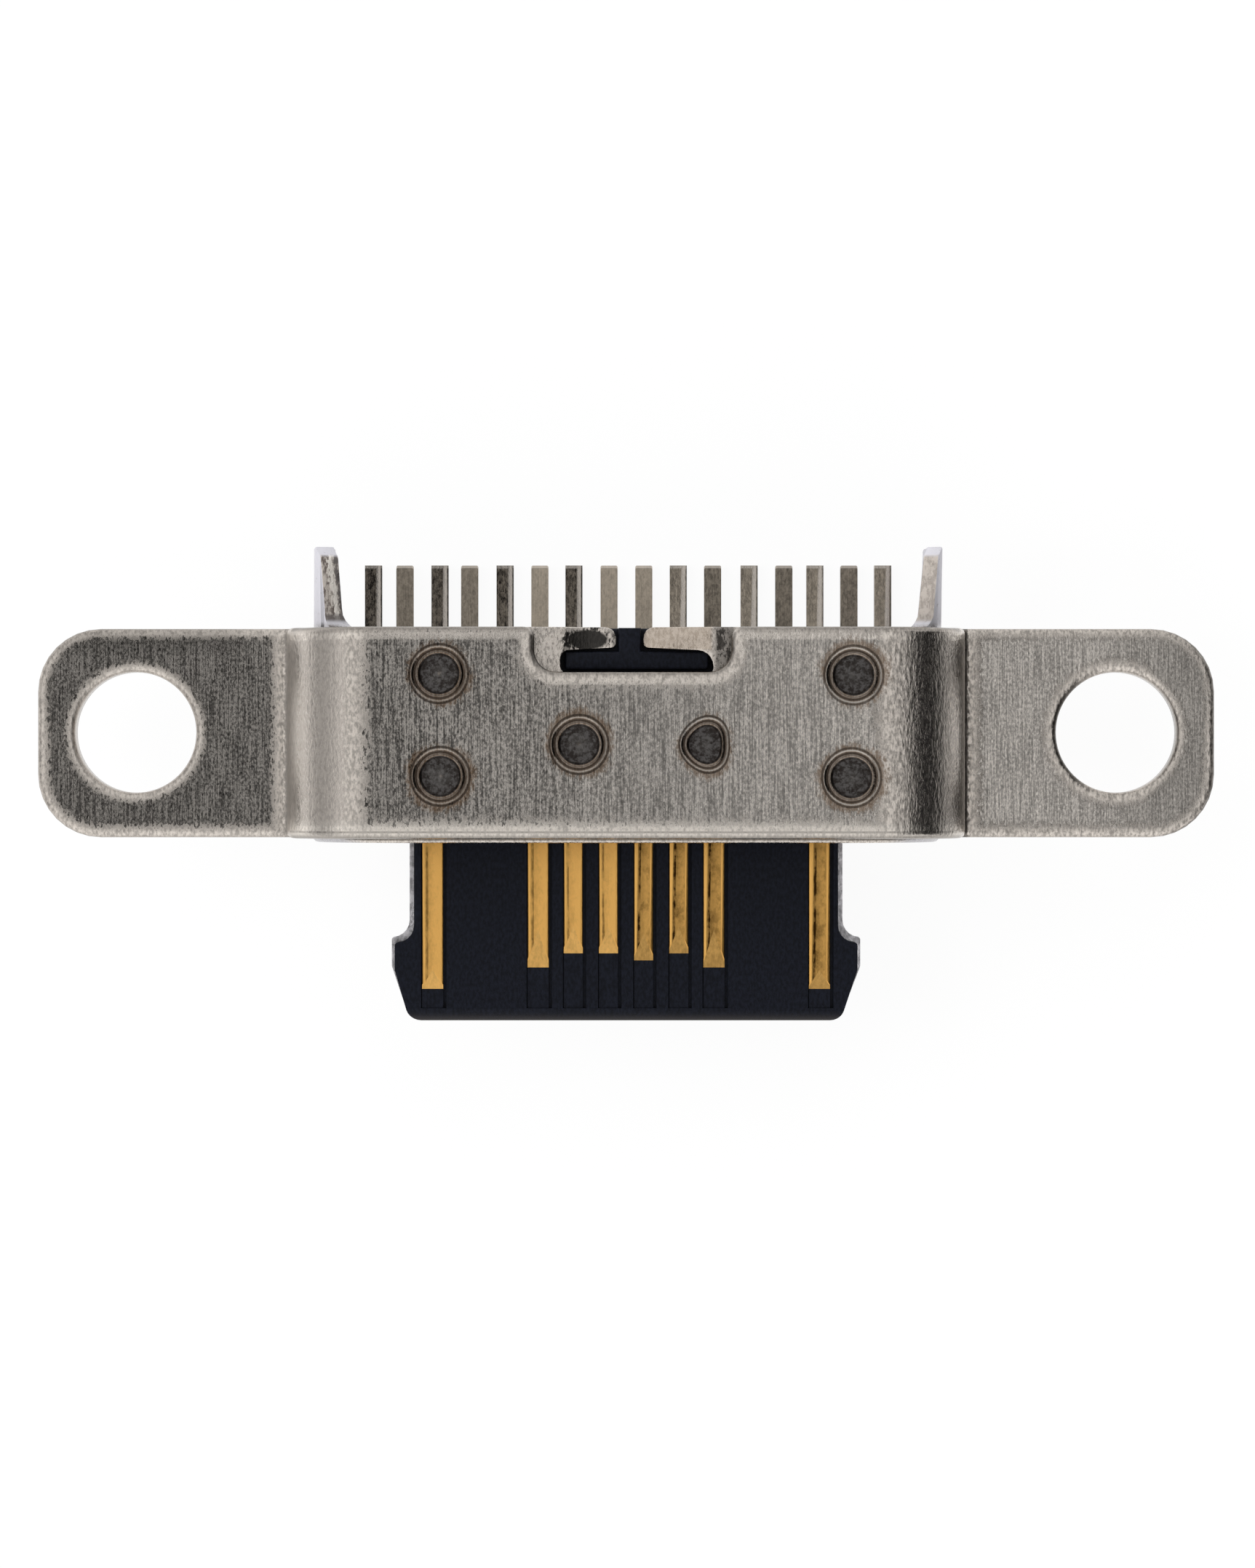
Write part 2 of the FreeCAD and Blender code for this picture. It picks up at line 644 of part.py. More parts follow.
def shield(label, side):
    """Thin plate over one face of the stepped root, with a lip down each side."""
    body = new_body(label, "mid_plane")
    section = new_sketch(body, "shield_section", "XZ_Plane", "step_front - shield_setback")
    inside = "%d * step_thickness / 2" % side
    outside = "%d * (step_thickness / 2 + shield_thickness)" % side
    lip = "%d * (step_thickness / 2 - shield_lip)" % side
    wide = "(step_width / 2 + shield_thickness)"
    outline(section, [
        ("-" + wide, outside),
        ("-" + wide, lip),
        ("-step_width / 2", lip),
        ("-step_width / 2", inside),
        ("step_width / 2", inside),
        ("step_width / 2", lip),
        (wide, lip),
        (wide, outside),
    ])
    feature = pad(body, section, "step_front - shield_setback + base_front", name="shield_plate")
    feature.Reversed = True
    doc.recompute()
    top = value(outside)
    dress(body, "Fillet", "Radius", "shield_bend", lambda edge: along(edge, "y")
          and lies_at(edge, "z", top), "shield_bends")
    return body


# The black mouldings


def tongue_blank():
    """Tongue with its stepped root, before the steel and contacts are taken out."""
    body = new_body("tongue_blank", "mid_plane")
    plan = new_sketch(body, "tongue_plan", "XY_Plane", "-tongue_thickness / 2")
    waist = "(tongue_waist / 2 - steel_margin)"
    hook = "(hook_width / 2 - steel_margin)"
    root = "(hook_width - tongue_waist) / 2"
    shoulder = from_tip("hook_back - steel_margin")
    shoulder_back = from_tip("hook_back - steel_margin + " + root)
    outline(plan, [
        ("-tip_width / 2", from_tip("0")),
        ("tip_width / 2", from_tip("0")),
        (hook, from_tip("taper_start")),
        (hook, shoulder),
        (waist, shoulder_back, root, -1),
        (waist, "base_front"),
        ("-" + waist, "base_front"),
        ("-" + waist, shoulder_back),
        ("-" + hook, shoulder, root, -1),
        ("-" + hook, from_tip("taper_start")),
    ])
    pad(body, plan, "tongue_thickness", name="tongue")
    tip = -value("tongue_reach")
    half_tip = value("tip_width / 2")
    dress(body, "Fillet", "Radius", "tip_corner", lambda edge: along(edge, "z")
          and lies_at(edge, "y", tip) and near(abs(edge.CenterOfMass.x), half_tip), "tip_corners")

    nose = new_sketch(body, "nose_side", "YZ_Plane")
    for sign in ("", "-"):
        face = "%s(tongue_thickness / 2)" % sign
        low = "%s(tongue_thickness / 2 - nose_depth)" % sign
        outline(nose, [
            (from_tip("0"), low),
            (from_tip("nose_length"), face),
            (from_tip("0"), face),
        ])
    pocket(body, nose, "ear_span", both_ways=True, name="nose_chamfer")

    contact_gaps(body)

    step = new_sketch(body, "step_plan", "XY_Plane", "-step_thickness / 2")
    rectangle(step, "-step_width / 2", "step_width / 2", "-step_front", "base_front")
    pad(body, step, "step_thickness", name="stepped_root")
    return body


def base_blank():
    """Base with its sole and lock key, before the steel and contacts are taken out."""
    body = new_body("base_blank", "mid_plane")
    base = new_sketch(body, "base_section", "XZ_Plane", "-base_rear")
    oval(base, "shell_width - 2 * shell_wall - 2 * fit_gap", "shell_height - 2 * shell_wall - 2 * fit_gap")
    pad(body, base, "base_rear - base_front", name="base")

    sole = new_sketch(body, "sole_side", "YZ_Plane")
    outline(sole, [
        ("floor_rear + fit_gap", "-shell_height / 2"),
        ("base_rear", "-shell_height / 2"),
        ("base_rear", "-tab_drop - fit_gap"),
        ("floor_rear + floor_corner", "-tab_drop - fit_gap"),
        ("floor_rear + fit_gap", "-tab_drop - floor_corner", "floor_corner - fit_gap", 1),
    ])
    pad(body, sole, "sole_width", both_ways=True, name="sole")

    key = new_sketch(body, "key_plan", "XY_Plane")
    lock = "(slot_width / 2 - slot_corner)"
    throat = "(throat_width / 2 - fit_gap)"
    key_back = "shell_rear - finger_depth - fit_gap"
    outline(key, [
        ("slot_shift - " + lock, "slot_front + fit_gap"),
        ("slot_shift + " + lock, "slot_front + fit_gap"),
        ("slot_shift + " + lock, key_back),
        ("throat_shift + " + throat, key_back),
        ("throat_shift + " + throat, "base_rear"),
        ("throat_shift - " + throat, "base_rear"),
        ("throat_shift - " + throat, key_back),
        ("slot_shift - " + lock, key_back),
    ])
    pad(body, key, "shell_height / 2 - key_sink", name="lock_key")
    return body


def contact_gaps(body):
    """Open gaps beside the blades and a shallow recess ahead of each, on both faces."""
    for row, contacts in ((1, UPPER_ROW), (-1, LOWER_ROW)):
        gaps = new_sketch(body, "blade_gaps", "XY_Plane", "%d * tongue_thickness / 2" % row)
        recesses = new_sketch(body, "blade_recesses", "XY_Plane", "%d * tongue_thickness / 2" % row)
        for _, place, _, width, setback in contacts:
            middle = "%s * contact_pitch" % place
            for side in (-1, 1):
                edge = "%s + %d * %s / 2" % (middle, side, width)
                beyond = "%s + %d * gap_width" % (edge, side)
                left, right = (beyond, edge) if side < 0 else (edge, beyond)
                rectangle(gaps, left, right, from_tip("nose_length"), "-step_front")
            rectangle(recesses, "%s - %s / 2" % (middle, width), "%s + %s / 2" % (middle, width),
                      from_tip("nose_length"), from_tip(setback))
        pocket(body, gaps, "gap_depth", upwards=row < 0, name="gap_cut")
        pocket(body, recesses, "recess_depth", upwards=row < 0, name="recess_cut")


def moulding(label, blank, inserts):
    """A blank with the room for the plate and the contacts taken out."""
    moulded = doc.addObject("Part::Cut", label)
    moulded.Label = label
    moulded.Base = blank
    moulded.Tool = inserts
    doc.recompute()
    return moulded


# Assembly

shell = outer_shell()
bracket = mounting_bracket()
plate = mid_plate()
contacts = [contact(*entry, 1) for entry in UPPER_ROW] + [contact(*entry, -1) for entry in LOWER_ROW]
shields = [shield("upper_shield", 1), shield("lower_shield", -1)]
inserts = doc.addObject("Part::Compound", "inserts")
inserts.Links = [plate] + contacts
tongue = moulding("tongue_body", tongue_blank(), inserts)
base = moulding("rear_base", base_blank(), inserts)
nodes = [bracket, shell, tongue, base, plate] + shields + contacts

doc.recompute()
for item in doc.Objects:
    if "Invalid" in item.State or "Error" in item.State:
        raise ValueError("failed: " + item.Name)
os.makedirs("parts", exist_ok=True)
for node in nodes:
    if node.Shape.isNull() or not node.Shape.isValid():
        raise ValueError("bad shape: " + node.Label)
    node.Shape.exportStep("parts/%s.step" % node.Label)
    print(node.Label, len(node.Shape.Solids), round(node.Shape.Volume, 4))
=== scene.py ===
"""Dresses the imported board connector: pieces in fine shape, their finishes, the stage and the camera.

X runs across the contacts, Y from the tongue's tip to the solder tails, Z up.
Pieces are drawn in millimetres and brought to metres when they are finished.
"""
import math
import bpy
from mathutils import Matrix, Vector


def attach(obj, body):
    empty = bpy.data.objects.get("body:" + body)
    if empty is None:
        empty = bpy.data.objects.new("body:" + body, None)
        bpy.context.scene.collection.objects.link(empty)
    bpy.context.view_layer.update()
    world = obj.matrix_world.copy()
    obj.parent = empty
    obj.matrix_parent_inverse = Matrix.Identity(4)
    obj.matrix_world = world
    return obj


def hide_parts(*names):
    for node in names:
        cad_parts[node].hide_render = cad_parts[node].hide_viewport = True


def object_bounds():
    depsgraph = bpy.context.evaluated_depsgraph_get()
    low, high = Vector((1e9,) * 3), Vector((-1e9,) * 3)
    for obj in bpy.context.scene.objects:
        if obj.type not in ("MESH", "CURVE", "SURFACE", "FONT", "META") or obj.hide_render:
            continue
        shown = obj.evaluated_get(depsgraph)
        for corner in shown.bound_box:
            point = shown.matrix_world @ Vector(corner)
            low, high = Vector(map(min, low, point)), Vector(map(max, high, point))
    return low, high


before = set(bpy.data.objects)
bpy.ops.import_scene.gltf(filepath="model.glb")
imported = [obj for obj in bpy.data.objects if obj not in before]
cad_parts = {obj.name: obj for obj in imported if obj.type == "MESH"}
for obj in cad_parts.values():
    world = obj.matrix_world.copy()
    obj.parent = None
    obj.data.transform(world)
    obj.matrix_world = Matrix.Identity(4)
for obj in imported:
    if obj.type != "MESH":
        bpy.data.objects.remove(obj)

from types import SimpleNamespace

import bmesh
import bpy
from bpy.props import FloatProperty, FloatVectorProperty, IntProperty, PointerProperty
from mathutils import Matrix, Vector

CAD_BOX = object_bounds()
MM = 1000.0

bl_info = {
    "name": "Board connector dresser",
    "version": (1, 0, 0),
    "blender": (4, 5, 0),
    "location": "3D View > Sidebar > Connector",
    "description": "Builds the visible pieces of a board connector, their finishes and its stage",
    "category": "Object",
}


# Sizes and colours that a user may change


def length(name, size, description):
    """A length property, given in millimetres."""
    return FloatProperty(name=name, default=size / MM, min=0, unit="LENGTH", precision=5,
                         description=description)


def colour(name, value, description):
    """A colour property."""
    return FloatVectorProperty(name=name, default=value, size=3, min=0, max=1, subtype="COLOR",
                               description=description)


class ConnectorBracketSizes(bpy.types.PropertyGroup):
    """Sizes of the bracket."""
    ear_span: length("Ear span", 16.80, "Length over both ears")
    depth: length("Depth", 2.96, "Width of the strip, front to back")
    sheet: length("Sheet", 0.30, "Thickness of the strip")
    top: length("Top", 2.03, "Height of the plate's top above the ears' seat")
    wall: length("Wall", 4.78, "Middle to the outside of a wall")
    left_bend: length("Left shoulder", 1.16, "Outside radius of the left shoulder")
    right_bend: length("Right shoulder", 1.16, "Outside radius of the right shoulder")
    valley: length("Valley", 0.12, "Radius where a wall meets its ear")
    ear_corner: length("Ear corner", 0.90, "Corner radius of an ear")
    screw_pitch: length("Screw pitch", 14.00, "Distance between the screw holes")
    screw_hole: length("Screw hole", 1.72, "Diameter of a screw hole")
    notch_width: length("Notch width", 2.73, "Notch at the back, across")
    notch_depth: length("Notch depth", 0.66, "Notch at the back, front to back")
    roll: length("Rolled edge", 0.11, "Width of the rolled top edge")


class ConnectorShellSizes(bpy.types.PropertyGroup):
    """Sizes of the shell."""
    width: length("Width", 8.94, "Outside width of the oval")
    height: length("Height", 3.16, "Outside height of the oval")
    sheet: length("Sheet", 0.27, "Wall of the shell")
    mid_height: length("Middle height", 0.15, "Middle of the shell above the ears' seat")
    front: length("Front", 1.56, "Screw line to the mouth")
    roof_rear: length("Roof", 1.45, "Screw line to the back of the roof")
    floor_rear: length("Floor", 0.72, "Screw line to the back of the floor")
    tab_end: length("Tab", 2.63, "Screw line to the ends of the tabs")


class ConnectorTongueSizes(bpy.types.PropertyGroup):
    """Sizes of the tongue, its plate and the contacts."""
    reach: length("Reach", 4.105, "Screw line to the tongue's tip")
    thickness: length("Thickness", 0.70, "Tongue, top to bottom")
    waist: length("Waist", 6.18, "Across the steel edges behind the hooks")
    hook_width: length("Hooks", 6.69, "Across the latch hooks")
    pitch: length("Pitch", 0.50, "One contact place to the next")
    sheet: length("Contact sheet", 0.15, "Thickness of the contacts")
    tail_width: length("Tail", 0.25, "Solder tail, across")
    tail_end: length("Tail end", 2.47, "Screw line to the ends of the tails")


class ConnectorFinish(bpy.types.PropertyGroup):
    """Colours of the finishes."""
    steel: colour("Steel", (0.65, 0.595, 0.54), "Tumbled steel on edges and bends")
    shell: colour("Shell steel", (0.62, 0.605, 0.625), "Drawn steel of the shell")
    brushed: colour("Brushed steel", (0.515, 0.480, 0.440), "Brushed faces of the bracket")
    plastic: colour("Plastic", (0.0042, 0.0050, 0.0086), "Moulded black of the tongue and base")
    gold: colour("Gold", (1.0, 0.56, 0.155), "Plating of the contacts")
    tin: colour("Tin", (0.33, 0.285, 0.23), "Plating of the solder tails")
    heat: colour("Heat tint", (0.20, 0.115, 0.055), "Brown round the weld marks")


class ConnectorStage(bpy.types.PropertyGroup):
    """Camera and light."""
    camera_height: length("Camera height", 56.5, "Camera above the ears' seat")
    camera_x: length("Camera across", 0.0207, "Camera to the right of the middle")
    camera_y: FloatProperty(name="Camera along", default=-0.7368 / MM, unit="LENGTH", precision=5,
                            description="Camera behind the screw line")
    view_height: length("View height", 22.296, "What the view takes in at the tongue, top to bottom")
    segments: IntProperty(name="Bend steps", default=18, min=4, max=64,
                          description="Faces along a quarter bend")


# Shaping

TOUCH = 1e-4


def deselect():
    """Leave edit mode with nothing selected."""
    if bpy.context.object and bpy.context.object.mode != "OBJECT":
        bpy.ops.object.mode_set(mode="OBJECT")
    bpy.ops.object.select_all(action="DESELECT")


def make_active(piece):
    """Select one piece and nothing else."""
    deselect()
    piece.select_set(True)
    bpy.context.view_layer.objects.active = piece


def edit(piece):
    """Open a piece in edit mode with nothing picked."""
    make_active(piece)
    bpy.ops.object.mode_set(mode="EDIT")
    bpy.ops.mesh.select_mode(type="EDGE")
    bpy.ops.mesh.select_all(action="DESELECT")
    return bmesh.from_edit_mesh(piece.data)


def done():
    """Close edit mode."""
    bpy.ops.object.mode_set(mode="OBJECT")


def arc(centre, radius, start, end, steps):
    """Points on an arc, in degrees."""
    turns = [math.radians(start + (end - start) * n / steps) for n in range(steps + 1)]
    return [(centre[0] + radius * math.cos(turn), centre[1] + radius * math.sin(turn)) for turn in turns]


def rounded(corners, steps=6):
    """An outline whose corners are (x, y) or (x, y, radius)."""
    points = []
    for n, corner in enumerate(corners):
        here = Vector(corner[:2])
        if len(corner) == 2:
            points.append(tuple(here))
            continue
        back = (Vector(corners[n - 1][:2]) - here).normalized()
        ahead = (Vector(corners[(n + 1) % len(corners)][:2]) - here).normalized()
        half = back.angle(ahead) / 2
        reach = corner[2] / math.tan(half)
        centre = here + (back + ahead).normalized() * (corner[2] / math.sin(half))
        first = here + back * reach - centre
        last = here + ahead * reach - centre
        turn = first.angle_signed(last)
        for step in range(steps + 1):
            swing = Matrix.Rotation(-turn * step / steps, 2)
            points.append(tuple(centre + swing @ first))
    return points


def drawn(name, outline, low, high):
    """A flat piece between two heights, drawn point by point and pulled up."""
    deselect()
    bpy.ops.mesh.primitive_circle_add(vertices=len(outline), fill_type="NGON")
    piece = bpy.context.object
    piece.name = piece.data.name = name
    for vertex, (x, y) in zip(piece.data.vertices, outline):
        vertex.co = (x, y, low)
    edit(piece)
    bpy.ops.mesh.select_all(action="SELECT")
    bpy.ops.mesh.extrude_region_move(TRANSFORM_OT_translate={"value": (0, 0, high - low)})
    bpy.ops.mesh.select_all(action="SELECT")
    bpy.ops.mesh.normals_make_consistent(inside=False)
    done()
    return piece


def block(name, left, right, near, far, low, high):
    """A plain box, used as a cutter."""
    return drawn(name, [(left, near), (right, near), (right, far), (left, far)], low, high)


def turned(name, centre, rings, steps=48):
    """A round piece: a disc pulled and scaled from ring to ring (radius, height)."""
    deselect()
    radius, height = rings[0]
    bpy.ops.mesh.primitive_circle_add(vertices=steps, radius=radius, fill_type="NGON",
                                      location=(centre[0], centre[1], height))
    piece = bpy.context.object
    piece.name = piece.data.name = name
    bpy.ops.object.transform_apply(location=True, rotation=False, scale=False)
    edit(piece)
    bpy.ops.mesh.select_all(action="SELECT")
    for (old, low), (new, high) in zip(rings, rings[1:]):
        grow = new / old
        bpy.ops.mesh.extrude_region_move(TRANSFORM_OT_translate={"value": (0, 0, high - low)})
        bpy.ops.transform.resize(value=(grow, grow, 1), center_override=(centre[0], centre[1], high))
    bpy.ops.mesh.select_all(action="SELECT")
    bpy.ops.mesh.normals_make_consistent(inside=False)
    done()
    return piece


def joined(pieces):
    """Several meshes as one."""
    deselect()
    for piece in pieces:
        piece.select_set(True)
    bpy.context.view_layer.objects.active = pieces[0]
    if len(pieces) > 1:
        bpy.ops.object.join()
    return pieces[0]


def combine(piece, other, operation):
    """Take another solid out of a piece, or fuse it on."""
    make_active(piece)
    step = piece.modifiers.new("combine", "BOOLEAN")
    step.operation = operation
    step.solver = "EXACT"
    step.object = other
    bpy.ops.object.modifier_apply(modifier=step.name)
    bpy.data.objects.remove(other)
    return piece


def cut(piece, cutters):
    """Take the cutters out of a piece."""
    return combine(piece, joined(cutters), "DIFFERENCE")


def round_edges(piece, width, steps, test, profile=0.5, sharp=30):
    """Bevel the sharp edges that pass a test on their two ends."""
    mesh = edit(piece)
    bpy.ops.mesh.edges_select_sharp(sharpness=math.radians(sharp))
    for edge in mesh.edges:
        if edge.select and not test(*(end.co for end in edge.verts)):
            edge.select_set(False)
    bmesh.update_edit_mesh(piece.data)
    if any(edge.select for edge in mesh.edges):
        bpy.ops.mesh.bevel(offset=width, segments=steps, profile=profile, affect="EDGES", clamp_overlap=True)
    done()


def slice_at(piece, axis, places):
    """Score a piece across at places along an axis, so that it can bend there."""
    edit(piece)
    normal = (1, 0, 0) if axis == 0 else (0, 1, 0)
    for place in places:
        bpy.ops.mesh.select_all(action="SELECT")
        bpy.ops.mesh.bisect(plane_co=[part * place for part in normal], plane_no=normal)
    done()


class Path:
    """A line of straights and quarter or half bends that a sheet's outer face follows."""

    def __init__(self, place, heading, start):
        self.runs = []
        self.place = Vector(place)
        self.heading = heading
        self.length = start
        self.scores = []

    def straight(self, reach):
        """Go on by a length."""
        along = Vector((math.cos(self.heading), math.sin(self.heading)))
        self.runs.append((self.length, reach, self.place.copy(), self.heading, 0, 0))
        self.place += along * reach
        self.length += reach
        return self

    def bend(self, radius, degrees, steps):
        """Turn left (above 0) or right (below 0) on a radius of the outer face."""
        side = 1 if degrees > 0 else -1
        turn = math.radians(degrees)
        centre = self.place + radius * side * Vector((-math.sin(self.heading), math.cos(self.heading)))
        reach = radius * abs(turn)
        self.runs.append((self.length, reach, centre, self.heading, radius, turn))
        self.scores += [self.length + reach * n / steps for n in range(steps + 1)]
        self.heading += turn
        self.place = centre - radius * side * Vector((-math.sin(self.heading), math.cos(self.heading)))
        self.length += reach
        return self

    def at(self, distance, depth):
        """The place at a distance along the path and a depth under the outer face, to its right."""
        for start, reach, place, heading, radius, turn in self.runs:
            if distance <= start + reach + 1e-6 or (start, reach) == self.runs[-1][:2]:
                break
        if not turn:
            along = Vector((math.cos(heading), math.sin(heading)))
            across = Vector((math.sin(heading), -math.cos(heading)))
            return place + along * (distance - start) + across * depth
        side = 1 if turn > 0 else -1
        facing = heading + turn * (distance - start) / reach
        out = Vector((-math.sin(facing), math.cos(facing)))
        return place - out * side * (radius + side * depth)


def bend_over(piece, path, axis):
    """Bend a flat piece, whose outer face is at height 0, along a path; axis is the one it runs along."""
    slice_at(piece, axis, path.scores)
    for vertex in piece.data.vertices:
        along, up = path.at(vertex.co[axis], -vertex.co.z)
        vertex.co[axis] = along
        vertex.co.z = up


def finished(piece, material, nodes=(), smooth=40):
    """Bring a piece to metres, smooth it, give it its finish and let it stand for its CAD nodes."""
    piece.data.transform(Matrix.Scale(1 / MM, 4))
    make_active(piece)
    bpy.ops.object.shade_smooth_by_angle(angle=math.radians(smooth))
    even = piece.modifiers.new("even", "WEIGHTED_NORMAL")
    even.keep_sharp = True
    even.weight = 90
    bpy.ops.object.modifier_apply(modifier=even.name)
    piece.data.materials.clear()
    piece.data.materials.append(material)
    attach(piece, "root")
    if nodes:
        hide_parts(*nodes)
    return piece


def in_mm(group):
    """A group's lengths, in millimetres."""
    return SimpleNamespace(**{key: getattr(group, key) * MM for key in type(group).__annotations__})


# Middles of the weld marks, and a mark's rings (radius, height) from its rim in to its core.
WELDS = [(-2.59, 0.79), (-2.57, -0.63), (-0.65, -0.19), (3.15, 0.77), (3.12, -0.65), (1.10, -0.19)]
WELD_RINGS = [(0.388, 0.06), (0.384, 0.002), (0.358, -0.020), (0.340, -0.022), (0.320, -0.006),
              (0.298, -0.003), (0.280, -0.014), (0.258, -0.046), (0.215, -0.056), (0.140, -0.050),
              (0.060, -0.042), (0.020, -0.048)]
# The last mark is egg-shaped: its mean size, and its swing twice and three times in a turn.
EGG = (0.90, -0.055, -0.045)
# The strip: what its front edge stands further out, what the raised part's back edge is set in, and the
# notch's middle and corner radii.
FRONT_PROUD = 0.02
SET_BACK = 0.035
NOTCH_MIDDLE = 0.095
NOTCH_CORNER = 0.30
NOTCH_MOUTH = 0.16
VALLEY_STEPS = 5


def egg_shaped(mark, middle):
    """Press a round mark to an egg's outline."""
    mean, second, third = EGG
    for vertex in mark.data.vertices:
        off = vertex.co.xy - Vector(middle)
        turn = math.atan2(off.y, off.x)
        swell = mean + second * math.cos(2 * turn) + third * math.cos(3 * turn)
        vertex.co.xy = Vector(middle) + off * swell


def bracket_strip(context):
    """The bracket's strip: cut flat, its edges rolled, welds pressed in, then bent."""
    size = in_mm(context.scene.connector_bracket)
    steps = context.scene.connector_stage.segments
    quarter = math.pi / 2
    plate_left = size.left_bend - size.wall
    plate_right = size.wall - size.right_bend
    left_rise = size.top - size.left_bend - size.sheet - size.valley
    right_rise = size.top - size.right_bend - size.sheet - size.valley
    ear = size.ear_span / 2 - size.wall - size.valley
    start = plate_left - quarter * (size.left_bend + size.valley) - left_rise - ear
    path = Path((-size.ear_span / 2, size.sheet), 0, start)
    path.straight(ear).bend(size.valley, 90, VALLEY_STEPS)
    path.straight(left_rise).bend(size.left_bend, -90, steps)
    path.straight(plate_right - plate_left).bend(size.right_bend, -90, steps)
    path.straight(right_rise).bend(size.valley, 90, VALLEY_STEPS).straight(ear)
    end = path.length

    half = size.depth / 2
    front = -FRONT_PROUD - half
    notch_left = NOTCH_MIDDLE - size.notch_width / 2
    notch_right = NOTCH_MIDDLE + size.notch_width / 2
    notch_floor = half - size.notch_depth
    corner = size.ear_corner
    blank = drawn("bracket_strip", rounded([
        (start, front, corner), (end, front, corner), (end, half, corner),
        (notch_right, half, NOTCH_MOUTH), (notch_right, notch_floor, NOTCH_CORNER),
        (notch_left, notch_floor, NOTCH_CORNER), (notch_left, half, NOTCH_MOUTH),
        (start, half, corner)], 8), -size.sheet, 0)
    margin = (size.ear_span - size.screw_pitch) / 2
    radius = size.screw_hole / 2
    cut(blank, [turned("hole", (place, 0), [(radius, -1), (radius, 1)], 72)
                for place in (start + margin, end - margin)])
    round_edges(blank, size.roll, 5, lambda a, b: a.z > -TOUCH and b.z > -TOUCH, profile=0.6)
    round_edges(blank, 0.02, 2, lambda a, b: a.z < TOUCH - size.sheet and b.z < TOUCH - size.sheet)
    marks = [turned("weld", place, WELD_RINGS) for place in WELDS]
    egg_shaped(marks[-1], WELDS[-1])
    cut(blank, marks)
    bend_over(blank, path, 0)
    for vertex in blank.data.vertices:
        if vertex.co.y > 1.3:
            vertex.co.y -= SET_BACK * min(1, max(0, vertex.co.z - 0.5))
    return blank


# The lock slot's left end, right end and front edge; the fingers' depth behind it; and the top and the
# bottom edge of a tab above the shell's middle.
SLOT = (-0.91, 1.21, 0.81)
FINGER = 0.32
TAB_TOP = 0.77
TAB_LOW = -0.10


def shell_outline(size, seam, tab_top, tab_low):
    """Outline of the shell's blank, which closes along the middle of the floor."""
    rear, end, floor = size.roof_rear, size.tab_end, size.floor_rear
    finger = rear - FINGER
    left, right, front = SLOT
    return rounded([
        (-seam, -size.front), (seam, -size.front), (seam, floor), (tab_low, floor, 0.15),
        (tab_low, end, 0.06), (tab_top + 0.32, end, 0.08), (tab_top, end - 0.15, 0.10),
        (tab_top, rear, 0.18), (0.225, rear, 0.17), (0.235, finger + 0.03, 0.09),
        (right, finger - 0.02, 0.22), (right, front, 0.07), (left, front, 0.10),
        (left, finger - 0.01, 0.12), (-0.135, finger + 0.03, 0.09), (-0.125, rear, 0.17),
        (-tab_top, rear, 0.30), (-tab_top, end - 0.15, 0.10), (-tab_top - 0.32, end, 0.08),
        (-tab_low, end, 0.06), (-tab_low, floor, 0.15), (-seam, floor)], 5)


def hollow_fingers(blank, finger):
    """Press the fingers down towards their tips, and the left one hollow."""
    left, right, _ = SLOT
    for vertex in blank.data.vertices:
        x, y = vertex.co.xy
        if y <= finger - 0.06 or not left < x < right:
            continue
        if x < 0.05:
            hollow = math.sin(min(1.0, (x - left) / 0.785 * 1.25) * math.pi * 0.62)
        else:
            hollow = (right - x) / 0.985
        vertex.co.z -= 0.13 * hollow * min(1, (y - finger + 0.06) / 0.2 + 0.3)


def shape_tab_roots(blank, rear, tab_top):
    """Thicken the left tab's root on the inside, and thin the right tab."""
    for vertex in blank.data.vertices:
        behind = vertex.co.y - rear
        if vertex.co.z < -0.15 and vertex.co.x < 0.6 - tab_top and -0.1 < behind < 0.30:
            vertex.co.z -= 0.15 * (1 - abs(behind) / 0.30) ** 2
        if vertex.co.z < -0.15 and vertex.co.x > tab_top - 0.1 and behind > 0.05:
            vertex.co.z += 0.05 * min(1, behind / 0.4)


def lean_tabs(blank, rear, flat, middle):
    """Lean the tabs over behind the roof, and bend the left one's end back."""
    for vertex in blank.data.vertices:
        beyond = vertex.co.y - rear
        if beyond <= 0 or abs(vertex.co.x) <= flat:
            continue
        start = math.sin(min(1, beyond / 0.50) * math.pi / 2)
        high = (vertex.co.z - middle) / TAB_TOP
        if vertex.co.x > 0:
            vertex.co.x += start * (0.125 * high + 0.01)
        else:
            kink = min(1, max(0, (vertex.co.y - 2.10) / 0.16))
            vertex.co.x += start * (0.085 - 0.065 * high) - kink * (0.05 + 0.01 * high)


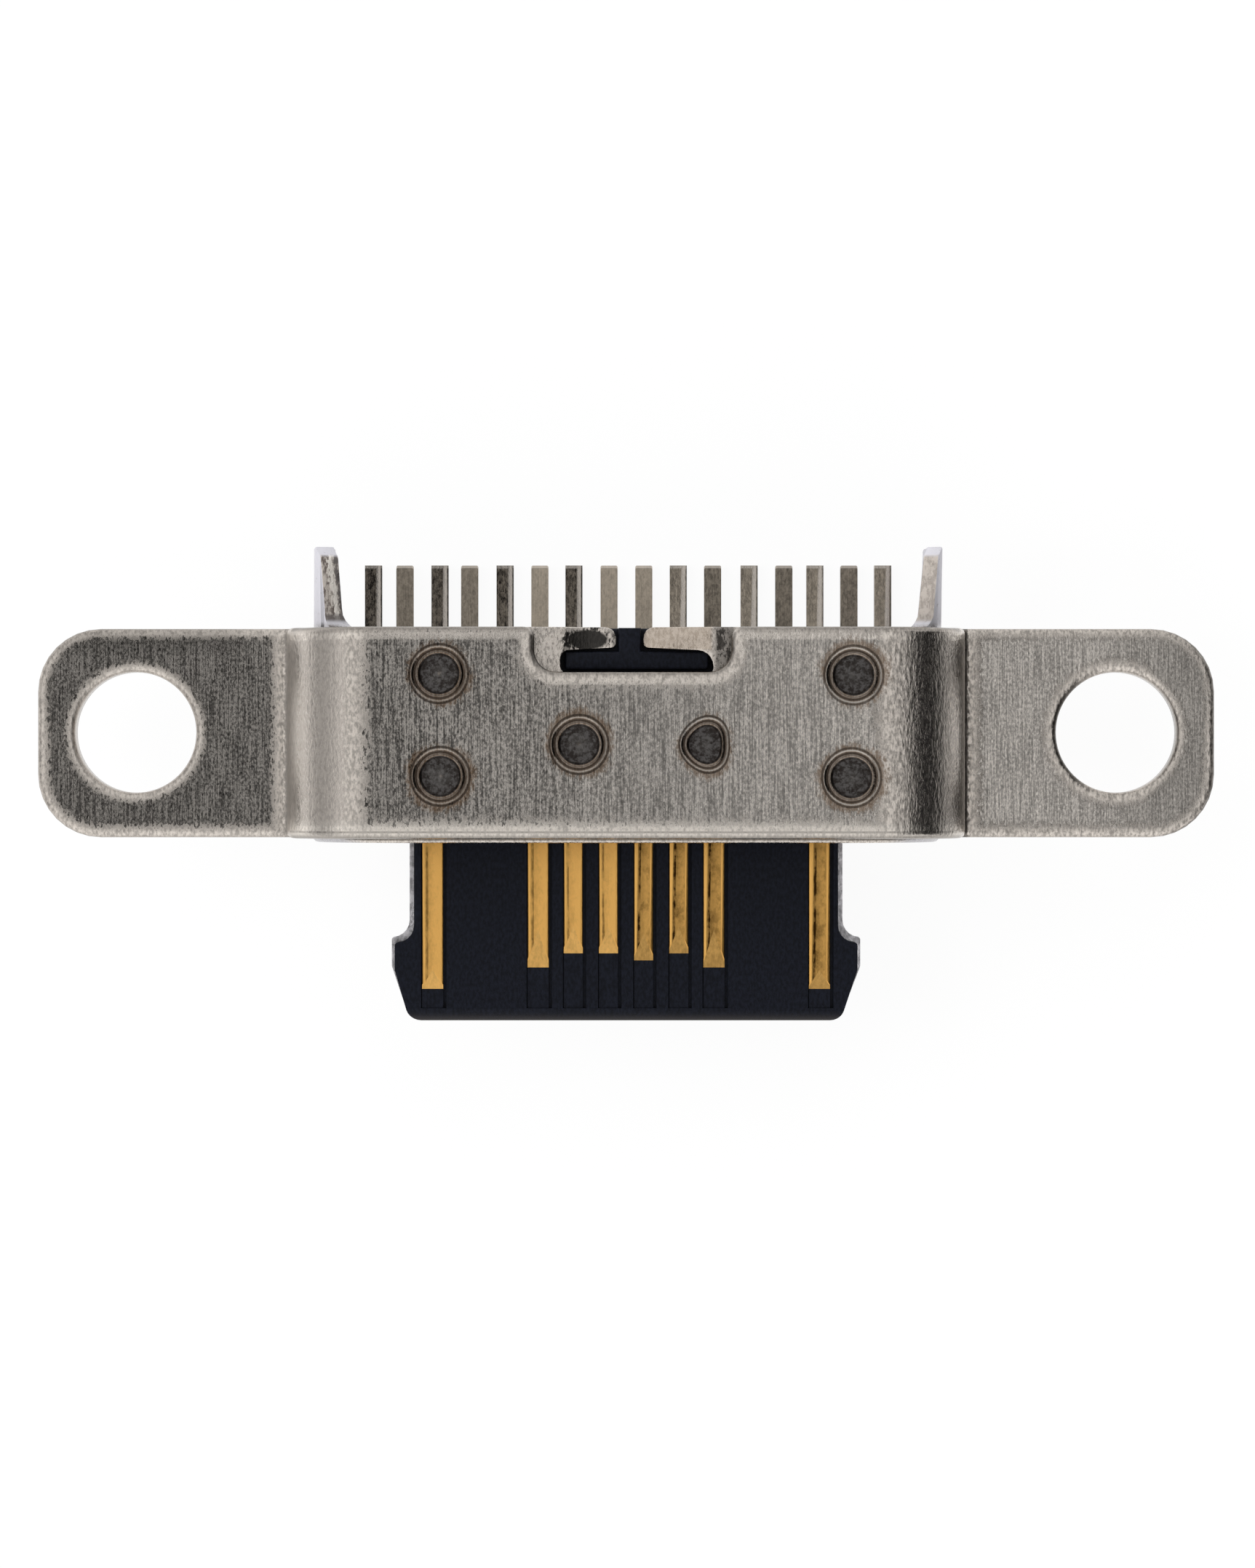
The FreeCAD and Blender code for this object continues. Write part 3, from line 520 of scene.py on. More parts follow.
def shell_tube(context):
    """The shell: a flat blank with its slot, fingers and tabs, wrapped round an oval."""
    size = in_mm(context.scene.connector_shell)
    steps = 2 * context.scene.connector_stage.segments
    radius = size.height / 2
    flat = (size.width - size.height) / 2
    seam = 2 * flat + math.pi * radius
    tab_top = flat + radius * math.acos(TAB_TOP / radius)
    tab_low = flat + radius * math.acos(TAB_LOW / radius)
    rear = size.roof_rear
    blank = drawn("shell_tube", shell_outline(size, seam, tab_top, tab_low), -size.sheet, 0)
    round_edges(blank, 0.07, 3, lambda a, b: max(a.y, b.y) < TOUCH - size.front and abs(a.y - b.y) < TOUCH)
    round_edges(blank, 0.025, 2, lambda a, b: min(a.y, b.y) > 0.1 - size.front)
    slice_at(blank, 0, [n * 0.1 for n in range(-9, 13)])
    hollow_fingers(blank, rear - FINGER)
    shape_tab_roots(blank, rear, tab_top)
    torn = blank.data.attributes.new("torn", "FLOAT", "FACE")
    for face, note in zip(blank.data.polygons, torn.data):
        note.value = float(abs(face.normal.z) < 0.5 and face.center.y > rear)
    path = Path((0, size.mid_height - radius), math.pi, -seam)
    path.straight(flat).bend(radius, -180, steps).straight(2 * flat)
    path.bend(radius, -180, steps).straight(flat)
    bend_over(blank, path, 0)
    lean_tabs(blank, rear, flat, size.mid_height)
    return blank


# Contacts: name, place on the tongue, place among the tails, blade width, distance from the tip, and
# row (1 above, -1 below).
CONTACTS = [
    ("a1", -5.5, -7.41, 0.30, 0.455, 1), ("a4", -2.5, -5.46, 0.30, 0.76, 1),
    ("a5", -1.5, -3.55, 0.27, 0.96, 1), ("a6", -0.5, -1.53, 0.27, 0.96, 1),
    ("a7", 0.5, 1.53, 0.27, 0.86, 1), ("a8", 1.5, 3.61, 0.27, 0.96, 1),
    ("a9", 2.5, 5.54, 0.30, 0.76, 1), ("a12", 5.5, 7.53, 0.30, 0.455, 1),
    ("b12", -5.5, -6.49, 0.30, 0.455, -1), ("b9", -2.5, -4.59, 0.30, 0.76, -1),
    ("b8", -1.5, -2.53, 0.27, 0.96, -1), ("b7", -0.5, -0.5, 0.27, 0.96, -1),
    ("b6", 0.5, 0.52, 0.27, 0.86, -1), ("b5", 1.5, 2.54, 0.27, 0.96, -1),
    ("b4", 2.5, 4.63, 0.30, 0.76, -1), ("b1", 5.5, 6.54, 0.30, 0.455, -1)]
# Height of the tongue's middle, the back of the rear block, and the open gaps left and right of a blade.
MIDDLE = 0.15
REAR = 1.44
GAPS = (0.014, 0.048)
# The nose at the tongue's tip: its length, and how much it thins the tongue on each side.
NOSE = 0.17
NOSE_THINNING = 0.12


def tongue_outline(size, inset):
    """Outline of the tongue, a margin inside the steel's, with a slightly wider tip on the left."""
    tip = -size.reach
    hook, waist = size.hook_width / 2 - inset, size.waist / 2 - inset - 0.02
    right = [(3.05, tip, 0.20), (hook, tip + 0.72, 0.10), (hook, tip + 1.17 - inset, 0.05),
             (waist, tip + 1.19 - inset, 0.24), (waist, 0.65)]
    left = [(-x, y, *more) for x, y, *more in reversed(right)]
    left[-1] = (-3.08, tip, 0.22)
    return rounded(right + left, 5)


def tongue(context):
    """The moulded tongue with its stepped root and the contacts' grooves."""
    size = in_mm(context.scene.connector_tongue)
    half, tip = size.thickness / 2, -size.reach
    nose = tip + NOSE
    body = drawn("tongue_moulding", tongue_outline(size, 0.055), -half, half)
    slice_at(body, 1, [nose - 0.03 * n for n in range(6)])
    for vertex in body.data.vertices:
        if vertex.co.y < nose + TOUCH:
            vertex.co.z *= 1 - NOSE_THINNING / half * ((nose - vertex.co.y) / NOSE) ** 2
    round_edges(body, 0.018, 2, lambda a, b: True, sharp=20)
    for side in (1, -1):
        grooves, bars = [], []
        for _, place, _, width, setback, row in CONTACTS:
            if row != side:
                continue
            x = place * size.pitch
            low, high = sorted((side * (half - 0.07), side * (half + 0.1)))
            left, right = x - width / 2 - GAPS[0], x + width / 2 + GAPS[1]
            grooves.append(block("groove", left, right, nose + 0.01, -0.25, low, high))
            low, high = sorted((side * (half - 0.10), side * (half - 0.02)))
            bars.append(block("bar", x - width / 2, x + width / 2, nose - 0.1, tip + setback, low, high))
        groove = joined(grooves)
        cut(groove, bars)
        cut(body, [groove])
    step = block("step", -3.25, 3.25, -0.25, 0.65, -0.61, 0.61)
    round_edges(step, 0.03, 2, lambda a, b: True)
    body = combine(body, step, "UNION")
    body.data.transform(Matrix.Translation((0, 0, MIDDLE)))
    return body


def latch_plate(context):
    """The steel plate in the tongue, with the latch hooks at its sides."""
    size = in_mm(context.scene.connector_tongue)
    tip = -size.reach
    hook, waist = size.hook_width / 2, size.waist / 2
    right = [(2.90, tip + 0.14), (3.105, tip + 0.14, 0.03), (hook, tip + 0.77, 0.08),
             (hook, tip + 1.18, 0.04), (waist, tip + 1.20, 0.25), (waist, 0.75), (4.16, 0.75), (4.16, 1.05)]
    left = [(-x, y, *more) for x, y, *more in reversed(right)]
    left[-2] = (-3.135, tip + 0.14, 0.03)
    plate = drawn("latch_plate", rounded(right + left, 5), -0.08, 0.08)
    round_edges(plate, 0.040, 4, lambda a, b: True)
    plate.data.transform(Matrix.Translation((0, 0, MIDDLE)))
    return plate


def coined_end(blade_x, width, start, pad, shown, row):
    """The wedge that flattens a blade's end, five-sided and deepest at the end."""
    left, right = blade_x - width / 2 - 0.01, blade_x + width / 2 + 0.01
    shoulder = start + pad * 0.15
    outline = [(left, start - 0.01), (right, start - 0.01), (right, shoulder), (blade_x, start + pad),
               (left, shoulder)]
    coin = drawn("coin", outline, *sorted((shown, shown + row * 0.1)))
    for vertex in coin.data.vertices:
        if abs(vertex.co.z - shown) < TOUCH:
            vertex.co.z -= row * 0.018 * (1 - (vertex.co.y - start) / pad)
    return coin


def map_strip(blank, blade, tail, start, pad):
    """Map a contact: from -1 to 1 across, and along in lengths of its coined end.

    blade and tail give a middle, a width and where the sloping part between them begins or ends.
    """
    (blade_x, blade_width, fan), (tail_x, tail_width, spread) = blade, tail
    strip = blank.data.uv_layers.new(name="strip")
    for loop, corner in zip(blank.data.loops, strip.data):
        x, y, _ = blank.data.vertices[loop.vertex_index].co
        share = min(1, max(0, (y - fan) / (spread - fan)))
        middle = blade_x + (tail_x - blade_x) * share
        half = (blade_width + (tail_width - blade_width) * share) / 2
        corner.uv = (x - middle) / half, (y - start) / pad


def contact(context, label, place, tail, width, setback, row):
    """One contact: a flat blank with rounded edges and a coined end, bent down to its tail."""
    size = in_mm(context.scene.connector_tongue)
    sheet, inside = size.sheet, 0.10
    drop = 1.32 if row > 0 else 1.02
    face = MIDDLE + (size.thickness / 2 if row > 0 else sheet - size.thickness / 2)
    start = setback - size.reach
    outer = sheet + inside
    path = Path((start, face), 0, start)
    path.straight(drop - outer - start).bend(outer, -90, 4)
    foot = MIDDLE - 1.58 + sheet
    path.straight(face - outer - foot - inside).bend(inside, 90, 4).straight(size.tail_end - drop - inside)
    blade_x, tail_x = place * size.pitch, tail * size.pitch
    fan, spread = -0.15, drop - sheet - 2 * inside
    left, right = blade_x - width / 2, blade_x + width / 2
    tail_left, tail_right = tail_x - size.tail_width / 2, tail_x + size.tail_width / 2
    blank = drawn("contact_" + label + "_strip", [
        (left, start), (right, start), (right, fan), (tail_right, spread), (tail_right, path.length),
        (tail_left, path.length), (tail_left, spread), (left, fan)], -sheet, 0)
    shown = 0 if row > 0 else -sheet

    def blade_edge(a, b):
        """The long edges of the blade's face."""
        on_face = abs(a.z - shown) < TOUCH and abs(b.z - shown) < TOUCH and abs(a.x - b.x) < TOUCH
        return on_face and max(a.y, b.y) < 0

    def tail_edge(a, b):
        """The right edge of an upper contact's tail."""
        on_face = abs(a.z) < TOUCH and abs(b.z) < TOUCH and abs(a.x - b.x) < TOUCH
        return on_face and row > 0 and min(a.y, b.y) > 0.5 and a.x > tail_x

    round_edges(blank, 0.045, 4, blade_edge)
    round_edges(blank, 0.075, 5, tail_edge)
    for vertex in blank.data.vertices:
        depth = shown - vertex.co.z
        if abs(depth) < 0.08 and abs(vertex.co.y - 0.25) > 0.24:
            vertex.co.z = shown - depth * (0.35 if vertex.co.y < 0 else 0.16)
    end = path.length
    round_edges(blank, 0.036, 1, lambda a, b: min(a.y, b.y) > end - 1e-3 and abs(a.x - b.x) > 0.01)
    round_edges(blank, 0.016, 1, lambda a, b: min(a.y, b.y) > end - 0.05 and abs(a.z - b.z) > 0.03)
    pad = 0.40 if width < 0.28 else 0.56 if abs(blade_x) < 2 else 0.28
    cut(blank, [coined_end(blade_x, width, start, pad, shown, row)])
    map_strip(blank, (blade_x, width, fan), (tail_x, size.tail_width, spread), start, pad)
    bend_over(blank, path, 1)
    return blank


def rear_block(context):
    """The moulding that closes the back of the shell, with its sole and lock key."""
    size = in_mm(context.scene.connector_shell)
    half_w, half_h = size.width / 2 - size.sheet - 0.02, size.height / 2 - size.sheet - 0.02
    flat = half_w - half_h
    oval = arc((flat, 0), half_h, -90, 90, 24) + arc((-flat, 0), half_h, 90, 270, 24)
    base = drawn("rear_moulding", oval, 0.65, REAR)
    base.data.transform(Matrix(((1, 0, 0, 0), (0, 0, 1, 0), (0, 1, 0, 0), (0, 0, 0, 1))))
    make_active(base)
    bpy.ops.object.mode_set(mode="EDIT")
    bpy.ops.mesh.select_all(action="SELECT")
    bpy.ops.mesh.normals_make_consistent(inside=False)
    done()
    round_edges(base, 0.05, 3, lambda a, b: True)
    sole = block("sole", -3.98, 3.98, 0.74, REAR, -1.58, -0.66)
    round_edges(sole, 0.04, 3, lambda a, b: True)
    key = drawn("key", rounded([
        (-0.85, 0.86, 0.05), (1.15, 0.86, 0.05), (1.15, 1.11), (0.205, 1.11), (0.205, REAR),
        (-0.105, REAR), (-0.105, 1.11), (-0.85, 1.11)]), 0, 1.47)
    round_edges(key, 0.035, 3, lambda a, b: a.z > 1 and b.z > 1)
    base = combine(combine(base, sole, "UNION"), key, "UNION")
    base.data.transform(Matrix.Translation((0, 0, MIDDLE)))
    return base


# Finishes


class Wire:
    """A value in a node tree, so that a finish can be written as sums and products."""

    def __init__(self, tree, socket):
        self.tree = tree
        self.socket = socket

    def join(self, item, slot):
        """Feed a wire or a plain number into a socket."""
        if isinstance(item, Wire):
            item.to(slot)
        else:
            slot.default_value = item

    def to(self, slot):
        """Feed this wire into a socket."""
        self.tree.links.new(self.socket, slot)

    def math(self, operation, *others, clamp=False):
        """A Math node with this wire in its first socket."""
        node = self.tree.nodes.new("ShaderNodeMath")
        node.operation = operation
        node.use_clamp = clamp
        for item, slot in zip((self,) + others, node.inputs):
            self.join(item, slot)
        return Wire(self.tree, node.outputs[0])

    def __add__(self, other):
        return self.math("ADD", other)

    def __sub__(self, other):
        return self.math("SUBTRACT", other)

    def __mul__(self, other):
        return self.math("MULTIPLY", other)

    def __truediv__(self, other):
        return self.math("DIVIDE", other)

    def size(self):
        return self.math("ABSOLUTE")

    def least(self, other):
        return self.math("MINIMUM", other)

    def most(self, other):
        return self.math("MAXIMUM", other)

    def hypot(self, other):
        return (self * self + other * other).math("SQRT")

    def ramp(self, low, high, first=0.0, last=1.0):
        """A smooth step from first to last as the wire goes from low to high."""
        node = self.tree.nodes.new("ShaderNodeMapRange")
        node.interpolation_type = "SMOOTHSTEP"
        self.to(node.inputs["Value"])
        for name, item in (("From Min", low), ("From Max", high), ("To Min", first), ("To Max", last)):
            self.join(item, node.inputs[name])
        return Wire(self.tree, node.outputs["Result"])

    def stretched(self, x, y, z):
        """A vector wire scaled along its axes."""
        node = self.tree.nodes.new("ShaderNodeVectorMath")
        node.operation = "MULTIPLY"
        self.to(node.inputs[0])
        node.inputs[1].default_value = (x, y, z)
        return Wire(self.tree, node.outputs[0])

    def parts(self):
        """A vector wire's three parts."""
        node = self.tree.nodes.new("ShaderNodeSeparateXYZ")
        self.to(node.inputs[0])
        return [Wire(self.tree, socket) for socket in node.outputs]

    def noise(self, scale, detail=2.0, roughness=0.5, distortion=0.0):
        """Noise over a vector wire."""
        node = self.tree.nodes.new("ShaderNodeTexNoise")
        self.to(node.inputs["Vector"])
        for name, item in (("Scale", scale), ("Detail", detail), ("Roughness", roughness),
                           ("Distortion", distortion)):
            node.inputs[name].default_value = item
        return Wire(self.tree, node.outputs["Fac"])

    def blend(self, first, second):
        """A colour between two, by this wire."""
        node = self.tree.nodes.new("ShaderNodeMix")
        node.data_type = "RGBA"
        self.to(node.inputs[0])
        for item, slot in ((first, node.inputs[6]), (second, node.inputs[7])):
            self.join(item if isinstance(item, Wire) else (*item, 1.0), slot)
        return Wire(self.tree, node.outputs[2])

    def shades(self, colour, low, high):
        """From a darker to a lighter shade of a colour, by this wire."""
        return self.blend(shade(colour, low), shade(colour, high))

    def relief(self, height, strength):
        """A bumped normal from this wire as height, with its full height in metres."""
        node = self.tree.nodes.new("ShaderNodeBump")
        node.inputs["Strength"].default_value = strength
        node.inputs["Distance"].default_value = height
        self.to(node.inputs["Height"])
        return Wire(self.tree, node.outputs["Normal"])


def shade(colour, times):
    """A colour made darker or lighter."""
    return [min(1, part * times) for part in colour]


def layered(tint, *layers):
    """A colour with others laid over it in turn, each by its mask."""
    for mask, colour in layers:
        tint = mask.blend(tint, colour)
    return tint


def object_place(tree):
    """Object coordinates in millimetres."""
    node = tree.nodes.new("ShaderNodeTexCoord")
    return Wire(tree, node.outputs["Object"]).stretched(MM, MM, MM)


def mark(place, name):
    """A number kept on the mesh."""
    node = place.tree.nodes.new("ShaderNodeAttribute")
    node.attribute_name = name
    return Wire(place.tree, node.outputs["Fac"])


def effect(name, outputs, build):
    """A node group with a place for its input, made once; build returns one wire for each output."""
    tree = bpy.data.node_groups.new(name, "ShaderNodeTree")
    tree.interface.new_socket("Place", in_out="INPUT", socket_type="NodeSocketVector")
    amount = tree.interface.new_socket("Amount", in_out="INPUT", socket_type="NodeSocketFloat")
    amount.default_value = 1.0
    for output in outputs:
        tree.interface.new_socket(output, in_out="OUTPUT", socket_type="NodeSocketFloat")
    inside = tree.nodes.new("NodeGroupInput")
    result = tree.nodes.new("NodeGroupOutput")
    wires = build(Wire(tree, inside.outputs["Place"]), Wire(tree, inside.outputs["Amount"]))
    for wire, slot in zip(wires, result.inputs):
        wire.to(slot)
    return tree


def strip_place(place):
    """Where a place is on a contact's strip: from -1 to 1 across, and along in lengths of its coined end."""
    node = place.tree.nodes.new("ShaderNodeUVMap")
    node.uv_map = "strip"
    return Wire(place.tree, node.outputs["UV"]).parts()[:2]


def use(group, place, amount):
    """Place an effect in a material; gives its outputs."""
    node = place.tree.nodes.new("ShaderNodeGroup")
    node.node_tree = group
    place.to(node.inputs["Place"])
    node.inputs["Amount"].default_value = amount
    return [Wire(place.tree, socket) for socket in node.outputs]


def brushed_grain(place, amount):
    """Scratches along Y over a fine grain: how bright each place is."""
    fine = place.stretched(50, 1.5, 10).noise(1.0, 2.0, 0.6, 0.1)
    grain = place.stretched(36, 20, 20).noise(1.0, 3.0, 0.65)
    broad = place.stretched(7, 1.5, 3).noise(1.0, 2.0, 0.5)
    streak = (fine * 0.43 + grain * 0.51 + broad * 0.06).ramp(0.38, 0.62)
    return [(streak - 0.5) * amount + 0.5]


def tumbled_mottle(place, amount):
    """Small soft spots of tumbled metal, and slow changes of tone."""
    spots = place.stretched(27, 13, 16).noise(1.0, 4.0, 0.65)
    slow = place.noise(1.3, 3.0, 0.55)
    return [(spots.ramp(0.34, 0.66) - 0.5) * amount + 0.5, (slow - 0.5) * amount + 0.5]


def handling_dirt(place, amount):
    """Specks and smears of dirt."""
    specks = place.noise(11.0, 4.0, 0.7)
    return [specks.ramp(0.60, 0.72) * amount]


# Heights of the ears' top and the plate's top, the plastic's sheen, and black.
EAR_TOP = 0.30
PLATE_TOP = 2.03
PLASTIC_SHEEN = 0.12
BLACK = (0.0, 0.0, 0.0)
EFFECTS = {}


def make_effects():
    """The effects that more than one finish uses."""
    EFFECTS["grain"] = effect("brushed_grain", ("Streak",), brushed_grain)
    EFFECTS["mottle"] = effect("tumbled_mottle", ("Spots", "Tone"), tumbled_mottle)
    EFFECTS["dirt"] = effect("handling_dirt", ("Dirt",), handling_dirt)


def finish(name, metallic, build):
    """A material: build gives colour, roughness and normal wires for its shader, and may give metallic."""
    material = bpy.data.materials.new(name)
    material.use_nodes = True
    tree = material.node_tree
    shader = tree.nodes["Principled BSDF"]
    shader.inputs["Metallic"].default_value = metallic
    if not metallic:
        shader.inputs["Specular IOR Level"].default_value = PLASTIC_SHEEN
    wires = build(object_place(tree))
    for wire, slot in zip(wires, ("Base Color", "Roughness", "Normal", "Metallic")):
        wire.to(shader.inputs[slot])
    return material


def rim_distance(x, y, z):
    """How far a place on the bracket is inside the nearest edge, and inside its brushed flat."""
    on_plate = z.ramp(1.2, 1.3)
    on_ear = on_plate * -1.0 + 1.0
    back_edge = y + y.ramp(1.0, 1.3, 0.0, SET_BACK) * on_plate
    across, along = x.size() - 7.5, (back_edge + 0.01).size() - 0.59
    outer = across.most(0.0).hypot(along.most(0.0)) * -1.0 + 0.9 - across.most(along).least(0.0)
    side, back = (x - NOTCH_MIDDLE).size() - 1.065, (y - 1.48).size() - 0.36
    notch = side.most(0.0).hypot(back.most(0.0)) - NOTCH_CORNER + side.most(back).least(0.0)
    hole = (x.size() - 7.0).hypot(y) - 0.86
    inner = notch * on_plate + hole * on_ear
    bends = (x + 3.68).least(x * -1.0 + 3.56) * on_plate + (x.size() - 4.95) * on_ear
    margin = y.ramp(0.6, -0.6, on_ear * 0.02 + 0.015, on_plate * 0.06 + 0.08)
    hole_margin = x.ramp(4.0, 6.0, 0.035, 0.09) * x.ramp(7.3, 7.7, 1.0, 0.2) * on_ear
    flat = (outer - margin).least(inner - on_plate * 0.10 - hole_margin).least(bends)
    return outer.least(inner), flat


def band(distance, middle, half):
    """A soft-edged ring round a distance."""
    return (distance - middle).size().ramp(half * 0.5, half * 1.3, 1.0, 0.0)


def weld_distance(x, y, z):
    """How far a place on the plate is from the middle of the nearest weld mark."""
    off_plate = z.ramp(1.5, 1.9, 5.0, 0.0)
    nearest = off_plate + 9.0
    for centre in WELDS:
        right, back = x - centre[0], y - centre[1]
        near = right.hypot(back)
        if centre == WELDS[-1]:
            second = (right * right - back * back) / (near * near)
            third = (right * right * right - right * back * back * 3.0) / (near * near * near)
            near = near / (second * EGG[1] + third * EGG[2] + EGG[0])
        nearest = nearest.least(near + off_plate)
    return nearest


def weld_layers(look, place, weld, core, spots, tone):
    """The weld marks: brown halo, sooty core with a paler middle, dark grooves, ring and lip, and a painted
    glint in the middle, strongest on the left welds.
    """
    x = place.parts()[0]
    ragged = weld + (spots - 0.5) * 0.10 + (tone - 0.5) * 0.3
    halo = ragged.ramp(0.40, 0.52, 1.0, 0.0)
    clouds = place.noise(9.0, 4.0, 0.65)
    soot = place.noise(16.0, 5.0, 0.75).ramp(0.42, 0.60)
    centre = (ragged + (clouds - 0.5) * 0.6).ramp(0.00, 0.22, 1.0, 0.0)
    centre = centre * clouds.ramp(0.40, 0.60, 0.3, 1.0) * x.ramp(-1.0, 2.0, 0.70, 0.4)
    moat = band(weld, 0.409, 0.017) * x.ramp(2.0, 3.0, 0.95, 0.85)
    groove = band(weld, 0.341, 0.021).most(band(weld, 0.265, 0.020) * 0.3).most(moat)
    ring = band(weld, 0.378, 0.011) * x.ramp(-3.0, 3.0, 0.52, 1.10)
    lip = band(weld, 0.309, 0.009)
    # A painted glint in the weld's middle, strongest on the left welds.
    centre_glint = (weld + (clouds - 0.5) * 0.12).ramp(0.0, 0.035, 0.8, 0.0)
    return [(halo * 0.60, look.heat),
            (core * 0.92, soot.blend((0.006, 0.006, 0.008), (0.100, 0.098, 0.100))),
            (centre, (0.20, 0.19, 0.18)),
            (groove * 0.88, (0.050, 0.038, 0.030)),
            (ring * 0.75, look.brushed),
            (lip * 0.65, (0.115, 0.108, 0.102)),
            (centre_glint * x.ramp(-3.0, 0.0, 0.35, 0.05), (0.60, 0.50, 0.40))]


def edge_layers(look, place, rim, plate, spots):
    """The strip's edges: a painted highlight a little way in and along the plate's front, and painted shade
    at the very rim, in the front crease, on the far left corner, on the right hole's left rim, along the
    valleys and on the notch's left side.
    """
    x, y, z = place.parts()
    # Painted highlight a little way in from every edge, patchy with the spots.
    glow = band(rim, plate * 0.06 + 0.075, 0.05) * (spots * 0.8 + 0.1)
    # Painted highlight: the plate's front band is made lighter.
    front = y.ramp(-1.20, -1.32) * plate
    # Painted shade on the left ear's far back corner.
    far_left_shade = x.ramp(-5.7, -5.3, 0.22, 0.0) * y.ramp(1.05, 1.20)
    # Painted shade: a dark line at the very rim, heavier at the right ear's end.
    edge = rim.ramp(0.015, plate * 0.030 + 0.040, plate * 0.30 + x.ramp(7.4, 8.1, 0.28, 0.70), 0.0)
    # Painted shade in the crease where the front roll meets the flat.
    crease_shade = band(rim, 0.095, 0.014) * y.ramp(-1.2, -1.3) * plate * (spots * 0.5 + 0.1)
    # Painted shade on the right screw hole's left rim.
    hole_rim_shade = (x - 6.25).size().ramp(0.1, 0.5, 0.9, 0.0) * y.size().ramp(0.8, 1.0, 1.0, 0.0)
    hole_rim_shade = (rim + (spots - 0.5) * 0.03).ramp(0.045, 0.075, 1.0, 0.0) * hole_rim_shade
    # Painted shade along the valleys where the walls meet the ears, stronger on the right.
    foot = (x.size() + (spots - 0.5) * 0.05 - x.ramp(-4.0, 4.0, 4.855, 4.825)).size()
    valley = foot.ramp(x.ramp(-4.0, 4.0, 0.015, 0.045), x.ramp(-4.0, 4.0, 0.04, 0.075), 1.0, 0.0)
    valley = valley * x.ramp(-4.0, 4.0, 0.35, 0.95) * z.ramp(0.44, 0.50, 1.0, 0.0)
    # Painted shade along the notch's left side.
    notch_side_shade = (x + 1.12).size().ramp(0.16, 0.24, 1.0, 0.0) * y.ramp(0.80, 0.86)
    notch_side_shade = notch_side_shade * z.ramp(1.975, 2.01, 1.0, 0.0)
    return [(glow * (plate * 0.56 + 0.27), shade(look.steel, 1.55)),
            (front * 0.20, shade(look.steel, 1.60)),
            (far_left_shade, BLACK),
            (edge.most(crease_shade).most(hole_rim_shade), (0.10, 0.09, 0.08)),
            (valley * (spots * 0.5 + 0.5), (0.05, 0.038, 0.028)),
            (notch_side_shade * 0.9, (0.02, 0.018, 0.016))]


def bracket_finish(look):
    """Stainless strip: brushed flats, tumbled edges and bends, heat tint round the welds, with painted light
    and shade on the flats, edges and welds.
    """
    def build(place):
        x, y, z = place.parts()
        streak, = use(EFFECTS["grain"], place, 1.0)
        spots, tone = use(EFFECTS["mottle"], place, 1.0)
        rim, inside = rim_distance(x, y, z)
        plate = z.ramp(1.2, 1.3)
        level = (z - EAR_TOP).size().least((z - PLATE_TOP).size()).ramp(0.02, 0.05, 1.0, 0.0)
        flat = (inside + (spots - 0.5) * (plate * 0.08 + 0.12)).ramp(0.05, 0.15) * level
        uneven = (spots - 0.5) * (level * 0.5 + x.ramp(3.0, 4.0, 0.20, 0.40)) + 0.5
        calm = (streak - 0.5) * x.ramp(-3.5, 1.0, 1.45, 0.75) + 0.5
        # Painted shade: the brushed flats are darkened towards the left and at the right ear's far end.
        painted_dimming = x.ramp(-7.5, 5.0, 0.58, 0.0) + x.ramp(4.8, 5.2, 0.0, 0.06) + x.ramp(6.3, 8.2, 0.0, 0.26)
        brushed = painted_dimming.blend(calm.shades(look.brushed, 0.38, 1.60), BLACK)
        weld = weld_distance(x, y, z)
        core = weld.ramp(0.275, 0.297, 1.0, 0.0)
        tint = layered(flat.blend(uneven.shades(look.steel, 0.52, 1.42), brushed),
                       *weld_layers(look, place, weld, core, spots, tone),
                       *edge_layers(look, place, rim, plate, spots))
        side = z.ramp(0.35, 0.5) * z.ramp(1.3, 1.6, 1.0, 0.0) * x.ramp(-1.0, 1.0, 0.2, 0.0)
        roughness = level * 0.12 - flat * 0.22 + spots * 0.05 + core * 0.25 + side + 0.21
        ripple = place.stretched(20, 6, 12).noise(1.0, 3.0, 0.55) * x.ramp(3.0, 3.6, 1.4, 4.0)
        height = streak * flat * 0.18 + spots * 0.55 + tone * 0.6 + ripple * (flat * -1.0 + 1.0)
        return tint, roughness, height.relief(0.000004, 0.7)
    return finish("bracket_steel", 1.0, build)


def torn_metal(place, ridges, spots):
    """The cut faces of the tabs: brown ridges with a painted highlight line and a dark line, and painted
    shadow at the root.
    """
    x, y, _ = place.parts()
    calm = (ridges - 0.78) * x.ramp(-1.0, 1.0, 1.0, 0.35) + 0.78
    tear = x + (y - 2.0) * 0.12 + (spots - 0.5) * 0.05
    # Painted shadow at the tab's root, strongest on the left tab.
    root = (y - 1.60).ramp(0.02, 0.10, 0.85, 0.0) * x.ramp(-1.0, 1.0, 1.0, 0.2)
    return layered(calm.blend((0.10, 0.070, 0.048), (0.54, 0.48, 0.42)),
                   # A painted highlight line down the left tab's cut face.
                   (band(tear, -4.13, 0.04), (0.80, 0.75, 0.68)),
                   (band(tear, -4.05, 0.03) * 0.85, (0.045, 0.035, 0.028)),
                   (root, (0.05, 0.036, 0.027)))


